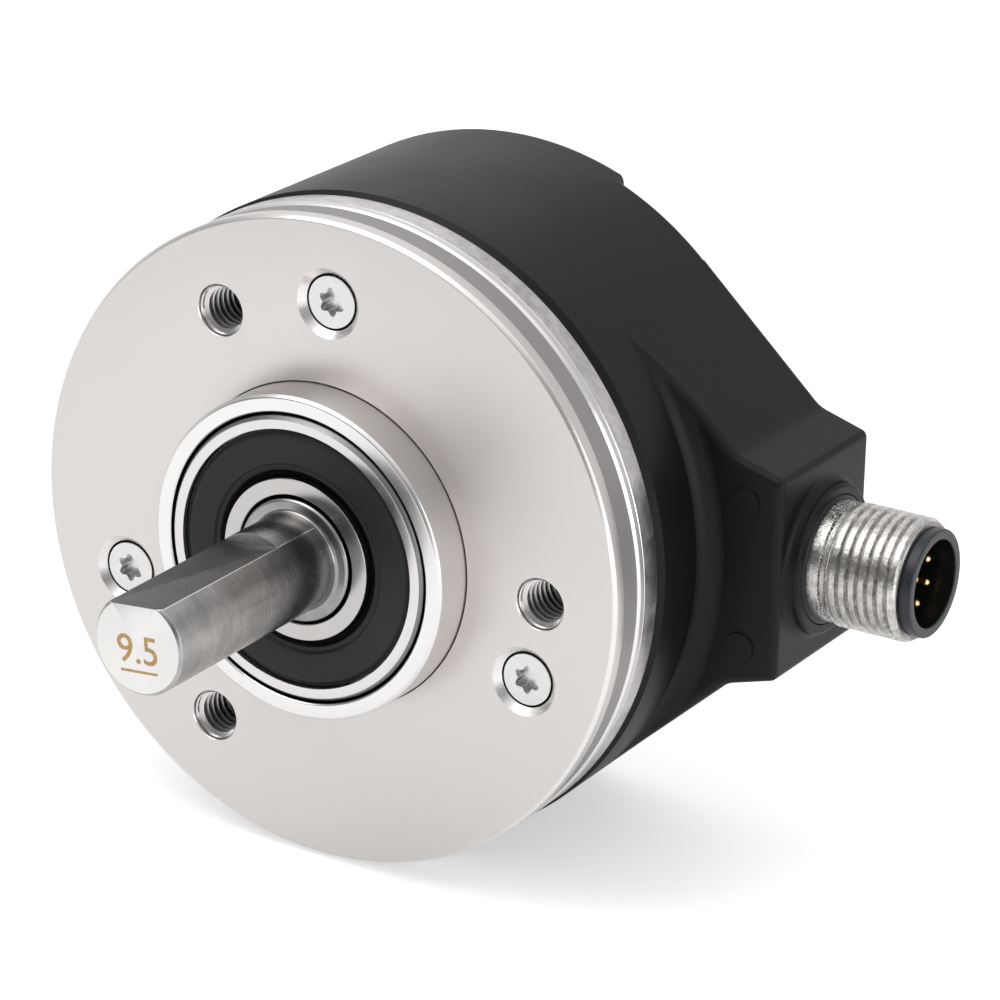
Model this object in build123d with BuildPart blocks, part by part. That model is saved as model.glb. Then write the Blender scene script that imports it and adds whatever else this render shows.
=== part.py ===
"""Incremental rotary encoder with a solid shaft, a round flange and a radial round connector.

Units are millimetres. The shaft lies along Y and points to -Y, the housing is on the +Y side,
the connector points to +X and +Z is up. The origin is on the shaft's axis, in the plane of the
flange's mounting face, at the root of the pilot.
"""
from math import cos, radians, sin, sqrt, tan
import os

from build123d import *

os.makedirs("parts", exist_ok=True)

# Flange
flange_r = 31.75
face_chamfer = 0.35
clamp_groove_start = 2.2
clamp_groove_width = 2.2
clamp_groove_depth = 0.45
flange_thickness = 7.7
skirt_start = 5.15
skirt_step = 0.08
pilot_wall = 1.875
pilot_length = 4.4
pilot_chamfer = 0.3
pilot_undercut = 0.3
pilot_relief = 0.2
spigot_length = 4.8
hub_wall = 4.0
hub_bore_chamfer = 0.35
o_ring_section = 0.79
o_ring_play = 0.15
o_ring_groove_half = 1.05

# Holes in the flange's face
bolt_circle_r = 23.8125
bolt_count = 3
bolt_start_angle = -0.85
tapped_r = 2.415
tapped_depth = 7.0
tapped_countersink = 0.1
cover_screw_angles = (89.1, 198.9, 339.4)
cover_screw_r = 1.5
cover_screw_length = 18.0
cover_head_r = 2.55
cover_head_sink = 0.6
cover_countersink_r = 3.35
cover_clearance = 0.2

# Ball bearings, both of one size
bearing_bore_r = 6.0
bearing_outer_r = 14.0
bearing_width = 8.0
bearing_corner = 0.3
bearing_proud = 0.15
inner_land_drop = 2.1
outer_land_rise = 2.0
seal_seat_step = 0.65
seal_seat_depth = 1.15
ball_r = 2.381
ball_count = 8
groove_clearance = 0.05
cage_wall = 1.8
cage_front = 1.0
cage_rim = 0.32
seal_clearance = 0.1
shoulder_height = 1.6
shoulder_width = 2.0
spring_gap = 0.8
spring_strip = 0.25
spring_width = 1.1
spring_waves = 3

# Shaft
shaft_r = 4.7625
shaft_length = 29.3
shaft_end_chamfer = 0.3
flat_depth = 1.0
flat_length = 18.1
flat_turn = 5.1
shaft_root_relief = 0.02
journal_fit = 0.01
journal_proud = 0.3
tail_step = 1.01
tail_proud = 1.2
snap_ring_thickness = 1.0
snap_ring_play = 0.05
shaft_groove_depth = 0.4
bore_groove_depth = 0.6

# Code disc and its hub
disc_hub_start = 17.0
disc_hub_r = 8.0
disc_seat_y = 21.0
disc_seat_thickness = 1.0
disc_seat_r = 10.5
disc_pilot_r = 7.0
disc_margin = 2.2
disc_thickness = 0.8
clamp_thickness = 1.0
clamp_screw_r = 0.8
clamp_screw_circle_r = 8.6
grub_r = 1.25

# Optical head
track_offset = 2.4
holder_length = 3.2
emitter_r = 1.25
lens_r = 1.5
reticle_gap = 0.4
reticle_thickness = 0.6
sensor_height = 2.4
sensor_radial = 6.4
sensor_across = 9.0
holder_half_angle = 24.0
holder_screw_turn = 17.0
holder_screw_r = 0.85
holder_screw_head_r = 1.35
holder_screw_head = 0.7
emitter_lead_width = 3.0
emitter_lead_thickness = 0.3

# Circuit board
board_thickness = 1.6
board_edge_play = 1.6
board_boss_clearance = 0.6
standoff_angles = (145.0, 270.0, 35.0)
standoff_r = 2.5
standoff_disc_play = 0.9
standoff_stud_r = 1.2
standoff_stud_length = 3.5
board_screw_r = 1.2
board_screw_depth = 5.0
thread_play = 0.05
processor_place = (3.0, 2.0)
processor_side = 9.0
processor_thickness = 1.0
driver_place = (4.0, -12.0)
driver_length = 6.2
driver_width = 5.0
driver_thickness = 1.5
capacitor_x = -8.0
capacitor_rows = (8.5, 5.5, 2.5, -6.0, -9.0)
capacitor_length = 3.2
capacitor_width = 1.6
capacitor_thickness = 1.3
header_disc_play = 1.6

# Housing
housing_gap = 0.3
housing_overhang = 0.2
housing_draft = 0.3
housing_rear_y = 35.1
housing_front_edge = 0.6
housing_rear_edge = 1.6
spigot_play = 0.2
housing_wall = 2.4
spigot_lip = 2.55
cavity_step = 0.8
boss_r = 3.4
boss_screw_play = 0.03
boss_rib = 2.0

# Connector pod on the housing's side
pod_front_y = 16.0
pod_rear_y = 33.2
pod_reach = 7.75
pod_face_half = 9.9
pod_side_taper = 16.5
pod_slope = 47.5
pod_valley_r = 3.0
pod_edge_r = 0.8
pod_rear_edge_r = 1.0
pod_blend_r = 2.2
rear_step_x = 11.0
pad_inset = 3.8
pad_z = 7.2
pad_r = 1.45
pad_height = 0.2
connector_set_back = 8.35
collar_r = 7.25
collar_height = 1.3
collar_edge = 0.35
collar_root_r = 0.8
collar_recess_r = 6.3
collar_recess_depth = 1.1

# Connector with a 12 mm coupling thread
thread_r = 5.93
thread_length = 7.5
neck_r = 5.2
neck_length = 0.5
root_collar_r = 5.35
root_collar_length = 2.5
seal_height = 1.3
shank_r = 4.95
shank_length = 7.2
shell_wall_bore_r = 4.45
nose_r = 5.18
nose_length = 1.2
socket_r = 4.2
socket_depth = 9.5
pin_r = 0.4
pin_circle_r = 2.75
pin_count = 7
pin_first_angle = 27.0
pin_recess = 1.8
pin_tail = 1.2
nut_across = 11.5
nut_thickness = 2.0
key_width = 1.2
key_height = 0.45
connector_board_thickness = 1.0
connector_board_r = 5.1
ribbon_width = 7.0
ribbon_thickness = 0.8
header_length = 5.0
header_width = 7.6
header_height = 4.6

# Radii round the shaft, worked out from the sizes above
housing_front_r = flange_r + housing_overhang
housing_rear_r = housing_front_r - housing_draft
spigot_r = housing_front_r - spigot_lip - spigot_play
cavity_r = spigot_r + spigot_play - cavity_step
pilot_r = bearing_outer_r + pilot_wall
hub_r = bearing_outer_r + hub_wall
pitch_r = (bearing_bore_r + bearing_outer_r) / 2
inner_land_r = pitch_r - inner_land_drop
outer_land_r = pitch_r + outer_land_rise
seal_seat_r = outer_land_r + seal_seat_step
shoulder_r = bearing_outer_r - shoulder_height
tail_r = bearing_bore_r - tail_step
track_r = bearing_outer_r + track_offset
disc_r = track_r + disc_margin
standoff_circle_r = disc_r + standoff_r + standoff_disc_play
board_r = cavity_r - board_edge_play

# Places along the shaft, worked out from the sizes above
spigot_rear = flange_thickness + spigot_length
front_bearing_start = -pilot_length - bearing_proud
shoulder_start = front_bearing_start + bearing_width
shoulder_end = shoulder_start + shoulder_width
rear_bearing_start = shoulder_end + spring_gap
rear_bearing_end = rear_bearing_start + bearing_width
hub_rear = rear_bearing_end + snap_ring_thickness + 1.4
disc_rear = disc_seat_y + disc_thickness
tail_end = disc_rear + clamp_thickness + tail_proud
board_y = disc_rear + reticle_gap + reticle_thickness + sensor_height
board_rear = board_y + board_thickness
housing_front_y = flange_thickness + housing_gap
connector_y = pod_front_y + connector_set_back

# Places along the connector
pod_face_x = housing_front_r + pod_reach
pad_x = pod_face_x - pad_inset
collar_x = pod_face_x + collar_height
seat_x = collar_x - collar_recess_depth
neck_x = seat_x + root_collar_length
thread_x = neck_x + neck_length
shell_end_x = thread_x + thread_length
nose_x = shell_end_x + nose_length
shell_rear_x = seat_x - shank_length
socket_floor_x = nose_x - socket_depth
pin_rear_x = shell_rear_x - pin_tail
wall_inner_x = pod_face_x - housing_wall


def across(y):
    """Sketch plane square to the shaft, seen from the shaft's end: local x is X and y is Z."""
    return Plane(origin=(0, y, 0), x_dir=(1, 0, 0), z_dir=(0, -1, 0))


def along_connector(x):
    """Sketch plane square to the connector's axis: local x is Y and y is Z."""
    return Plane(origin=(x, connector_y, 0), x_dir=(0, 1, 0), z_dir=(1, 0, 0))


def on_circle(radius, angle):
    """Point of a circle round the shaft, in a plane square to it."""
    return (radius * cos(radians(angle)), radius * sin(radians(angle)))


def turned(*outline):
    """Solid of revolution round the shaft, from (radius, y) corners."""
    with BuildSketch(Plane.XY) as profile:
        with BuildLine():
            Polyline(*outline, close=True)
        make_face()
    revolve(profile.sketch, axis=Axis.Y)


def connector_turned(*outline):
    """Solid of revolution round the connector's axis, from (x, radius) corners."""
    with BuildSketch(Plane(origin=(0, connector_y, 0))) as profile:
        with BuildLine():
            Polyline(*outline, close=True)
        make_face()
    revolve(profile.sketch, axis=Axis((0, connector_y, 0), (1, 0, 0)))


def drill(radius, y, depth, places):
    """Round holes along the shaft, from the plane y backwards."""
    with BuildSketch(across(y)) as holes:
        with Locations(*places):
            Circle(radius)
    extrude(holes.sketch, amount=depth, dir=(0, 1, 0), mode=Mode.SUBTRACT)


def keep(part, name):
    """Label a finished piece and write it to its own file."""
    part.label = name
    export_step(part, f"parts/{name}.step")


# Flange with its pilot, its clamp groove, its spigot and the hub that holds both bearings
groove_end = clamp_groove_start + clamp_groove_width
groove_r = flange_r - clamp_groove_depth
o_ring_groove_r = spigot_r + spigot_play - o_ring_play - 2 * o_ring_section
o_ring_y = flange_thickness + spigot_length / 2
tapped_places = [on_circle(bolt_circle_r, bolt_start_angle + 360 / bolt_count * k)
                 for k in range(bolt_count)]
cover_screw_places = [on_circle(bolt_circle_r, angle) for angle in cover_screw_angles]
standoff_places = [on_circle(standoff_circle_r, angle) for angle in standoff_angles]
bore_ring_groove_r = bearing_outer_r + bore_groove_depth
bore_ring_end = rear_bearing_end + snap_ring_thickness + 2 * snap_ring_play

with BuildPart() as flange:
    turned(
        (bearing_outer_r, -pilot_length + hub_bore_chamfer),
        (bearing_outer_r + hub_bore_chamfer, -pilot_length),
        (pilot_r - pilot_chamfer, -pilot_length),
        (pilot_r, -pilot_length + pilot_chamfer),
        (pilot_r, -pilot_undercut),
        (pilot_r - pilot_relief, -pilot_undercut),
        (pilot_r - pilot_relief, pilot_undercut),
        (pilot_r + pilot_undercut, pilot_undercut),
        (pilot_r + pilot_undercut, 0),
        (flange_r - face_chamfer, 0),
        (flange_r, face_chamfer),
        (flange_r, clamp_groove_start),
        (groove_r, clamp_groove_start),
        (groove_r, groove_end),
        (flange_r, groove_end),
        (flange_r, skirt_start),
        (flange_r - skirt_step, skirt_start),
        (flange_r - skirt_step, flange_thickness),
        (spigot_r, flange_thickness),
        (spigot_r, o_ring_y - o_ring_groove_half),
        (o_ring_groove_r, o_ring_y - o_ring_groove_half),
        (o_ring_groove_r, o_ring_y + o_ring_groove_half),
        (spigot_r, o_ring_y + o_ring_groove_half),
        (spigot_r, spigot_rear),
        (hub_r, spigot_rear),
        (hub_r, hub_rear),
        (bearing_outer_r, hub_rear),
        (bearing_outer_r, bore_ring_end),
        (bore_ring_groove_r, bore_ring_end),
        (bore_ring_groove_r, rear_bearing_end),
        (bearing_outer_r, rear_bearing_end),
        (bearing_outer_r, shoulder_end),
        (shoulder_r, shoulder_end),
        (shoulder_r, shoulder_start),
        (bearing_outer_r, shoulder_start),
    )
    drill(tapped_r, 0, tapped_depth, tapped_places)
    drill(cover_screw_r + cover_clearance, 0, spigot_rear, cover_screw_places)
    drill(standoff_stud_r + thread_play, spigot_rear - standoff_stud_length - 0.5,
          standoff_stud_length + 0.5, standoff_places)
    for x, z in tapped_places:
        with Locations(Location((x, 0, z), (90, 0, 0))):
            CounterSinkHole(tapped_r, tapped_r + tapped_countersink, tapped_depth)
    for x, z in cover_screw_places:
        with Locations(Location((x, 0, z), (90, 0, 0))):
            CounterSinkHole(cover_screw_r + cover_clearance, cover_countersink_r, spigot_rear)
keep(flange.part, "flange")

# Seal ring round the spigot
with BuildPart() as flange_o_ring:
    with BuildSketch(Plane.XY):
        with Locations((o_ring_groove_r + o_ring_section, o_ring_y)):
            Circle(o_ring_section)
    revolve(axis=Axis.Y)
keep(flange_o_ring.part, "flange_o_ring")


# Ball bearings: rings with a groove for the balls, a seal at each side and a snap-in cage
def bearing_outer_ring(start):
    """Outer ring of a bearing whose front face is at y = start."""
    end = start + bearing_width
    with BuildPart() as ring:
        turned(
            (seal_seat_r, start),
            (bearing_outer_r - bearing_corner, start),
            (bearing_outer_r, start + bearing_corner),
            (bearing_outer_r, end - bearing_corner),
            (bearing_outer_r - bearing_corner, end),
            (seal_seat_r, end),
            (seal_seat_r, end - seal_seat_depth),
            (outer_land_r, end - seal_seat_depth),
            (outer_land_r, start + seal_seat_depth),
            (seal_seat_r, start + seal_seat_depth),
        )
        ball_groove(start)
    return ring.part


def bearing_inner_ring(start):
    """Inner ring of a bearing whose front face is at y = start."""
    end = start + bearing_width
    with BuildPart() as ring:
        turned(
            (bearing_bore_r, start + bearing_corner),
            (bearing_bore_r + bearing_corner, start),
            (inner_land_r, start),
            (inner_land_r, end),
            (bearing_bore_r + bearing_corner, end),
            (bearing_bore_r, end - bearing_corner),
        )
        ball_groove(start)
    return ring.part


def ball_groove(start):
    """Cut the round groove that the balls run in."""
    with BuildSketch(Plane.XY) as groove:
        with Locations((pitch_r, start + bearing_width / 2)):
            Circle(ball_r + groove_clearance)
    revolve(groove.sketch, axis=Axis.Y, mode=Mode.SUBTRACT)


def ball_places(start):
    """Centres of a bearing's balls."""
    centres = [on_circle(pitch_r, 360 / ball_count * k) for k in range(ball_count)]
    return [(x, start + bearing_width / 2, z) for x, z in centres]


def bearing_balls(start):
    """The ring of balls."""
    with BuildPart() as balls:
        with Locations(*ball_places(start)):
            Sphere(ball_r)
    return balls.part


def bearing_cage(start):
    """Crown cage: a ring at the back with an open pocket for each ball."""
    middle = start + bearing_width / 2
    with BuildPart() as cage:
        turned(
            (pitch_r - cage_wall / 2, middle - cage_front),
            (pitch_r + cage_wall / 2, middle - cage_front),
            (pitch_r + cage_wall / 2, middle + ball_r + cage_rim),
            (pitch_r - cage_wall / 2, middle + ball_r + cage_rim),
        )
        for k in range(ball_count):
            pocket = Plane(origin=(0, middle, 0), x_dir=(0, 1, 0),
                           z_dir=(cos(radians(360 / ball_count * k)), 0,
                                  sin(radians(360 / ball_count * k))))
            with BuildSketch(pocket):
                Circle(ball_r + groove_clearance)
            extrude(amount=pitch_r + cage_wall, mode=Mode.SUBTRACT)
    return cage.part


def bearing_seal(face, inward):
    """Rubber seal of a bearing: face is its outer face and inward the way into the bearing."""
    lip_r = inner_land_r + seal_clearance
    rim_r = seal_seat_r - 0.05
    profile = (
        (rim_r, seal_seat_depth),
        (rim_r, 0.45),
        (rim_r - 0.35, 0.45),
        (rim_r - 0.5, 0.2),
        (lip_r + 1.2, 0.2),
        (lip_r + 1.0, 0.5),
        (lip_r + 0.6, 0.5),
        (lip_r + 0.5, 0.3),
        (lip_r + 0.15, 0.3),
        (lip_r, 0.55),
        (lip_r, seal_seat_depth),
    )
    with BuildPart() as seal:
        turned(*[(r, face + inward * depth) for r, depth in profile])
    return seal.part


for side, start in (("front", front_bearing_start), ("rear", rear_bearing_start)):
    keep(bearing_outer_ring(start), f"{side}_bearing_outer_ring")
    keep(bearing_inner_ring(start), f"{side}_bearing_inner_ring")
    keep(bearing_balls(start), f"{side}_bearing_balls")
    keep(bearing_cage(start), f"{side}_bearing_cage")
    keep(bearing_seal(start, 1), f"{side}_bearing_front_seal")
    keep(bearing_seal(start + bearing_width, -1), f"{side}_bearing_rear_seal")

# Wave spring that presses the rear outer ring back
spring_r = (shoulder_r + bearing_outer_r) / 2 + 0.15
spring_y = (shoulder_end + rear_bearing_start) / 2
spring_swing = (spring_gap - spring_strip) / 2 - 0.03
spring_points = 8 * spring_waves
spring_start = 3.0
with BuildPart() as wave_spring:
    for k in range(spring_points + 1):
        turn = spring_start + (360 - 2 * spring_start) * k / spring_points
        with BuildSketch(Plane(origin=(0, 0, 0), x_dir=(cos(radians(turn)), 0, sin(radians(turn))),
                               z_dir=(-sin(radians(turn)), 0, cos(radians(turn))))):
            with Locations((spring_r, spring_y + spring_swing * cos(radians(spring_waves * turn)))):
                Rectangle(spring_width, spring_strip)
    loft(ruled=True)
keep(wave_spring.part, "wave_spring")

# Shaft with its flat, its journal for both bearings and the tail that carries the code disc
journal_r = bearing_bore_r - journal_fit
journal_front = front_bearing_start - journal_proud
shaft_groove_r = journal_r - shaft_groove_depth
shaft_ring_end = rear_bearing_end + snap_ring_thickness + 2 * snap_ring_play
journal_rear = shaft_ring_end + 0.9
flat_end = -shaft_length + flat_length
with BuildPart() as shaft:
    turned(
        (0, -shaft_length),
        (shaft_r - shaft_end_chamfer, -shaft_length),
        (shaft_r, -shaft_length + shaft_end_chamfer),
        (shaft_r, flat_end),
        (shaft_r - shaft_root_relief, flat_end),
        (shaft_r - shaft_root_relief, journal_front),
        (journal_r - 0.2, journal_front),
        (journal_r, journal_front + 0.2),
        (journal_r, rear_bearing_end),
        (shaft_groove_r, rear_bearing_end),
        (shaft_groove_r, shaft_ring_end),
        (journal_r, shaft_ring_end),
        (journal_r, journal_rear),
        (tail_r, journal_rear),
        (tail_r, tail_end - shaft_end_chamfer),
        (tail_r - shaft_end_chamfer, tail_end),
        (0, tail_end),
    )
    flat_plane = Plane(origin=(0, flat_end, 0), z_dir=(0, -1, 0),
                       x_dir=(cos(radians(flat_turn)), 0, sin(radians(flat_turn))))
    with BuildSketch(flat_plane):
        with Locations((0, shaft_r)):
            Rectangle(2 * shaft_r, 2 * flat_depth)
    extrude(amount=flat_length, mode=Mode.SUBTRACT)
keep(shaft.part, "shaft")

# Sleeve between the two inner rings
with BuildPart() as bearing_spacer:
    turned(
        (bearing_bore_r + 0.02, shoulder_start),
        (inner_land_r - 0.3, shoulder_start),
        (inner_land_r - 0.3, rear_bearing_start),
        (bearing_bore_r + 0.02, rear_bearing_start),
    )
keep(bearing_spacer.part, "bearing_spacer")


# Snap rings: one in the shaft's groove and one in the hub's bore
def snap_ring(inner, outer, gap, gap_angle):
    """Open ring behind the rear bearing, with two lugs with a hole beside its gap."""
    start = rear_bearing_end + snap_ring_play
    lug_r = 1.5
    lug_circle = outer if inner < pitch_r else inner
    lug_spread = (gap / 2 + lug_r) / lug_circle * 57.3
    lugs = [on_circle(lug_circle, gap_angle + turn) for turn in (-lug_spread, lug_spread)]
    with BuildPart() as ring:
        with BuildSketch(across(start)):
            Circle(outer)
            Circle(inner, mode=Mode.SUBTRACT)
            with Locations(Location((0, 0, 0), (0, 0, 1), gap_angle)):
                Rectangle(2 * outer, gap, align=(Align.MIN, Align.CENTER), mode=Mode.SUBTRACT)
            with Locations(*lugs):
                Circle(lug_r)
                Circle(0.6, mode=Mode.SUBTRACT)
        extrude(amount=-snap_ring_thickness)
    return ring.part


keep(snap_ring(shaft_groove_r + snap_ring_play, journal_r + 1.9, 2.0, 270), "shaft_snap_ring")
keep(snap_ring(bearing_outer_r - 1.2, bore_ring_groove_r - snap_ring_play, 3.0, 90),
     "bore_snap_ring")

# Hub of the code disc, held on the tail by two grub screws
grub_y = (disc_hub_start + disc_seat_y - disc_seat_thickness) / 2
clamp_places = [on_circle(clamp_screw_circle_r, 120 * k + 30) for k in range(3)]
with BuildPart() as disc_hub:
    turned(
        (tail_r + 0.02, disc_hub_start),
        (disc_hub_r, disc_hub_start),
        (disc_hub_r, disc_seat_y - disc_seat_thickness),
        (disc_seat_r, disc_seat_y - disc_seat_thickness),
        (disc_seat_r, disc_seat_y),
        (disc_pilot_r, disc_seat_y),
        (disc_pilot_r, disc_rear - 0.05),
        (tail_r + 0.02, disc_rear - 0.05),
    )
    drill(clamp_screw_r, disc_seat_y - disc_seat_thickness, disc_seat_thickness + 0.1,
          clamp_places)
    for angle in (45, 165):
        grub_plane = Plane(origin=(0, grub_y, 0), x_dir=(0, 1, 0),
                           z_dir=(cos(radians(angle)), 0, sin(radians(angle))))
        with BuildSketch(grub_plane):
            Circle(grub_r)
        extrude(amount=disc_hub_r + 1, mode=Mode.SUBTRACT)
keep(disc_hub.part, "disc_hub")

with BuildPart() as hub_grub_screws:
    for angle in (45, 165):
        grub_plane = Plane(origin=(0, grub_y, 0), x_dir=(0, 1, 0),
                           z_dir=(cos(radians(angle)), 0, sin(radians(angle))))
        with BuildSketch(grub_plane.offset(tail_r + 0.02)):
            Circle(grub_r - 0.03)
        extrude(amount=disc_hub_r - tail_r - 0.3)
keep(hub_grub_screws.part, "hub_grub_screws")

with BuildPart() as code_disc:
    with BuildSketch(across(disc_seat_y)):
        Circle(disc_r)
        Circle(disc_pilot_r + 0.02, mode=Mode.SUBTRACT)
        with Locations(*clamp_places):
            Circle(clamp_screw_r + 0.1, mode=Mode.SUBTRACT)
    extrude(amount=-disc_thickness)
keep(code_disc.part, "code_disc")

with BuildPart() as disc_clamp_ring:
    with BuildSketch(across(disc_rear)):
        Circle(disc_seat_r)
        Circle(tail_r + 0.4, mode=Mode.SUBTRACT)
        with Locations(*clamp_places):
            Circle(clamp_screw_r + 0.1, mode=Mode.SUBTRACT)
    extrude(amount=-clamp_thickness)
keep(disc_clamp_ring.part, "disc_clamp_ring")

clamp_rear = disc_rear + clamp_thickness
with BuildPart() as disc_clamp_screws:
    with BuildSketch(across(disc_seat_y - disc_seat_thickness + 0.1)):
        with Locations(*clamp_places):
            Circle(clamp_screw_r - 0.03)
    extrude(amount=-(clamp_rear - disc_seat_y + disc_seat_thickness - 0.1))
    with BuildSketch(across(clamp_rear)):
        with Locations(*clamp_places):
            Circle(1.4)
    extrude(amount=-0.8)
keep(disc_clamp_screws.part, "disc_clamp_screws")

# Light source: a curved holder on the hub's rear face, with the emitter, its lens and its lead
holder_inner_r = bore_ring_groove_r + 0.2
holder_outer_r = hub_r - 0.1
holder_rear = hub_rear + holder_length
holder_screw_places = [on_circle((holder_inner_r + holder_outer_r) / 2, 180 + turn)
                       for turn in (-holder_screw_turn, holder_screw_turn)]
with BuildPart() as emitter_holder:
    with BuildSketch(across(hub_rear)):
        Circle(holder_outer_r)
        Circle(holder_inner_r, mode=Mode.SUBTRACT)
        with BuildLine():
            Polyline((0, 0), on_circle(2 * hub_r, 180 - holder_half_angle),
                     on_circle(2 * hub_r, 180 + holder_half_angle), close=True)
        make_face(mode=Mode.INTERSECT)
    extrude(amount=-holder_length)
    drill(emitter_r + 0.05, hub_rear + 0.6, holder_length, [(-track_r, 0)])
    drill(holder_screw_r + 0.1, hub_rear, holder_length, holder_screw_places)
keep(emitter_holder.part, "emitter_holder")

with BuildPart() as light_emitter:
    with BuildSketch(across(hub_rear + 0.6)):
        with Locations((-track_r, 0)):
            Circle(emitter_r)
    extrude(amount=-(holder_length - 0.6))
keep(light_emitter.part, "light_emitter")

with BuildPart() as emitter_lens:
    with BuildSketch(Plane(origin=(-track_r, holder_rear, 0), x_dir=(1, 0, 0), z_dir=(0, 0, 1))):
        with BuildLine():
            lens_top = ThreePointArc((0, 0.8), (lens_r * 0.65, 0.55), (lens_r, 0))
            Polyline((lens_r, 0), (0, 0), (0, 0.8))
        make_face()
    revolve(axis=Axis((-track_r, holder_rear, 0), (0, 1, 0)))
keep(emitter_lens.part, "emitter_lens")

with BuildPart() as holder_screws:
    with BuildSketch(across(hub_rear)):
        with Locations(*holder_screw_places):
            Circle(holder_screw_r)
    extrude(amount=-holder_length)
    with BuildSketch(across(holder_rear)):
        with Locations(*holder_screw_places):
            Circle(holder_screw_head_r)
    extrude(amount=-holder_screw_head)
keep(holder_screws.part, "holder_screws")

lead_x = -(disc_r + 2.0)
with BuildPart() as emitter_lead:
    with BuildSketch(Plane.XY):
        with BuildLine() as lead_line:
            FilletPolyline((-holder_outer_r, hub_rear + 1.6), (lead_x, hub_rear + 1.6),
                           (lead_x, board_y), radius=1.2)
        trace(line_width=emitter_lead_thickness)
    extrude(amount=emitter_lead_width / 2, both=True)
    with BuildSketch(across(board_y)):
        Circle(2 * board_r)
    extrude(amount=-board_thickness, mode=Mode.SUBTRACT)
keep(emitter_lead.part, "emitter_lead")

# Circuit board on three pillars, with a notch round each cover screw boss
with BuildPart() as circuit_board:
    with BuildSketch(across(board_y)):
        Circle(board_r)
        with Locations(*cover_screw_places):
            Circle(boss_r + board_boss_clearance, mode=Mode.SUBTRACT)
        for x, z in cover_screw_places:
            with Locations((x * 1.2, z * 1.2)):
                Circle(boss_r + board_boss_clearance, mode=Mode.SUBTRACT)
        with Locations(*standoff_places):
            Circle(board_screw_r + 0.2, mode=Mode.SUBTRACT)
    extrude(amount=-board_thickness)
keep(circuit_board.part, "circuit_board")

with BuildPart() as board_pillars:
    with BuildSketch(across(spigot_rear)):
        with Locations(*standoff_places):
            RegularPolygon(standoff_r, 6)
    extrude(amount=-(board_y - spigot_rear))
    with BuildSketch(across(spigot_rear)):
        with Locations(*standoff_places):
            Circle(standoff_stud_r)
    extrude(amount=standoff_stud_length)
    drill(board_screw_r + thread_play, board_y - board_screw_depth - 0.5,
          board_screw_depth + 0.5, standoff_places)
keep(board_pillars.part, "board_pillars")

with BuildPart() as board_screws:
    with BuildSketch(across(board_y - board_screw_depth)):
        with Locations(*standoff_places):
            Circle(board_screw_r)
    extrude(amount=-(board_screw_depth + board_thickness))
    with BuildSketch(across(board_rear)):
        with Locations(*standoff_places):
            Circle(2.2)
    extrude(amount=-1.5)
keep(board_screws.part, "board_screws")


# Parts soldered to the board
def board_block(place, width, height, start, depth):
    """Block on the board, from y = start backwards."""
    with BuildPart() as block:
        with BuildSketch(across(start)):
            with Locations(place):
                Rectangle(width, height)
        extrude(amount=-depth)
    return block.part


sensor_y = board_y - sensor_height
sensor_place = (-track_r, 0)
keep(board_block(sensor_place, sensor_radial, sensor_across, sensor_y, sensor_height),
     "light_sensor")
keep(board_block(sensor_place, sensor_radial - 1, sensor_across - 1.6,
                 sensor_y - reticle_thickness, reticle_thickness), "reticle_plate")
keep(board_block(processor_place, processor_side, processor_side, board_rear,
                 processor_thickness), "processor_chip")
keep(board_block(driver_place, driver_length, driver_width, board_rear, driver_thickness),
     "line_driver_chip")
header_x = disc_r + header_disc_play
keep(board_block((header_x + header_length / 2, 0), header_length, header_width,
                 board_y - header_height, header_height), "board_header")

with BuildPart() as board_capacitors:
    with BuildSketch(across(board_rear)):
        with Locations(*[(capacitor_x, z) for z in capacitor_rows]):
            Rectangle(capacitor_length, capacitor_width)
    extrude(amount=-capacitor_thickness)
keep(board_capacitors.part, "board_capacitors")

# Outline of the connector pod: two slopes that leave the round housing and two tapered sides
slope = radians(pod_slope)
side_tan = tan(radians(pod_side_taper))
pod_middle = (pod_front_y + pod_rear_y) / 2
pod_r = housing_front_r - housing_draft * (
    (pod_middle - housing_front_y) / (housing_rear_y - housing_front_y))
slope_start = (pod_r * cos(slope), pod_r * sin(slope))
valley_x = ((pod_r - (pod_face_half + pod_face_x * side_tan) * sin(slope))
            / (cos(slope) - side_tan * sin(slope)))
valley = (valley_x, pod_face_half + (pod_face_x - valley_x) * side_tan)
corner = (pod_face_x, pod_face_half)


def pod_face(shrink=0.0):
    """Closed outline of the pod in a plane square to the shaft, drawn in by a wall thickness."""
    upper = [slope_start, valley, corner]
    with BuildLine() as outline:
        Polyline(*upper, *[(x, -z) for x, z in reversed(upper)], close=True)
    make_face(outline.edges())
    fillet([v for v in vertices() if abs(v.X - valley_x) < 0.01], pod_valley_r)
    if shrink:
        offset(amount=-shrink, kind=Kind.INTERSECTION, mode=Mode.REPLACE)


# Hollow blend between the round housing and the pod's front face
blend_start = pod_front_y - pod_blend_r
with BuildPart() as pod_blend:
    with BuildSketch(Plane.XY):
        with BuildLine():
            Polyline((pod_r, blend_start), (pod_r - 1, blend_start), (pod_r - 1, pod_front_y),
                     (pod_r + pod_blend_r, pod_front_y))
            CenterArc((pod_r + pod_blend_r, blend_start), pod_blend_r, 90, 90)
        make_face()
    revolve(axis=Axis.Y)
    with BuildSketch(across(blend_start)):
        pod_face()
    extrude(amount=-pod_blend_r, mode=Mode.INTERSECT)

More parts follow.
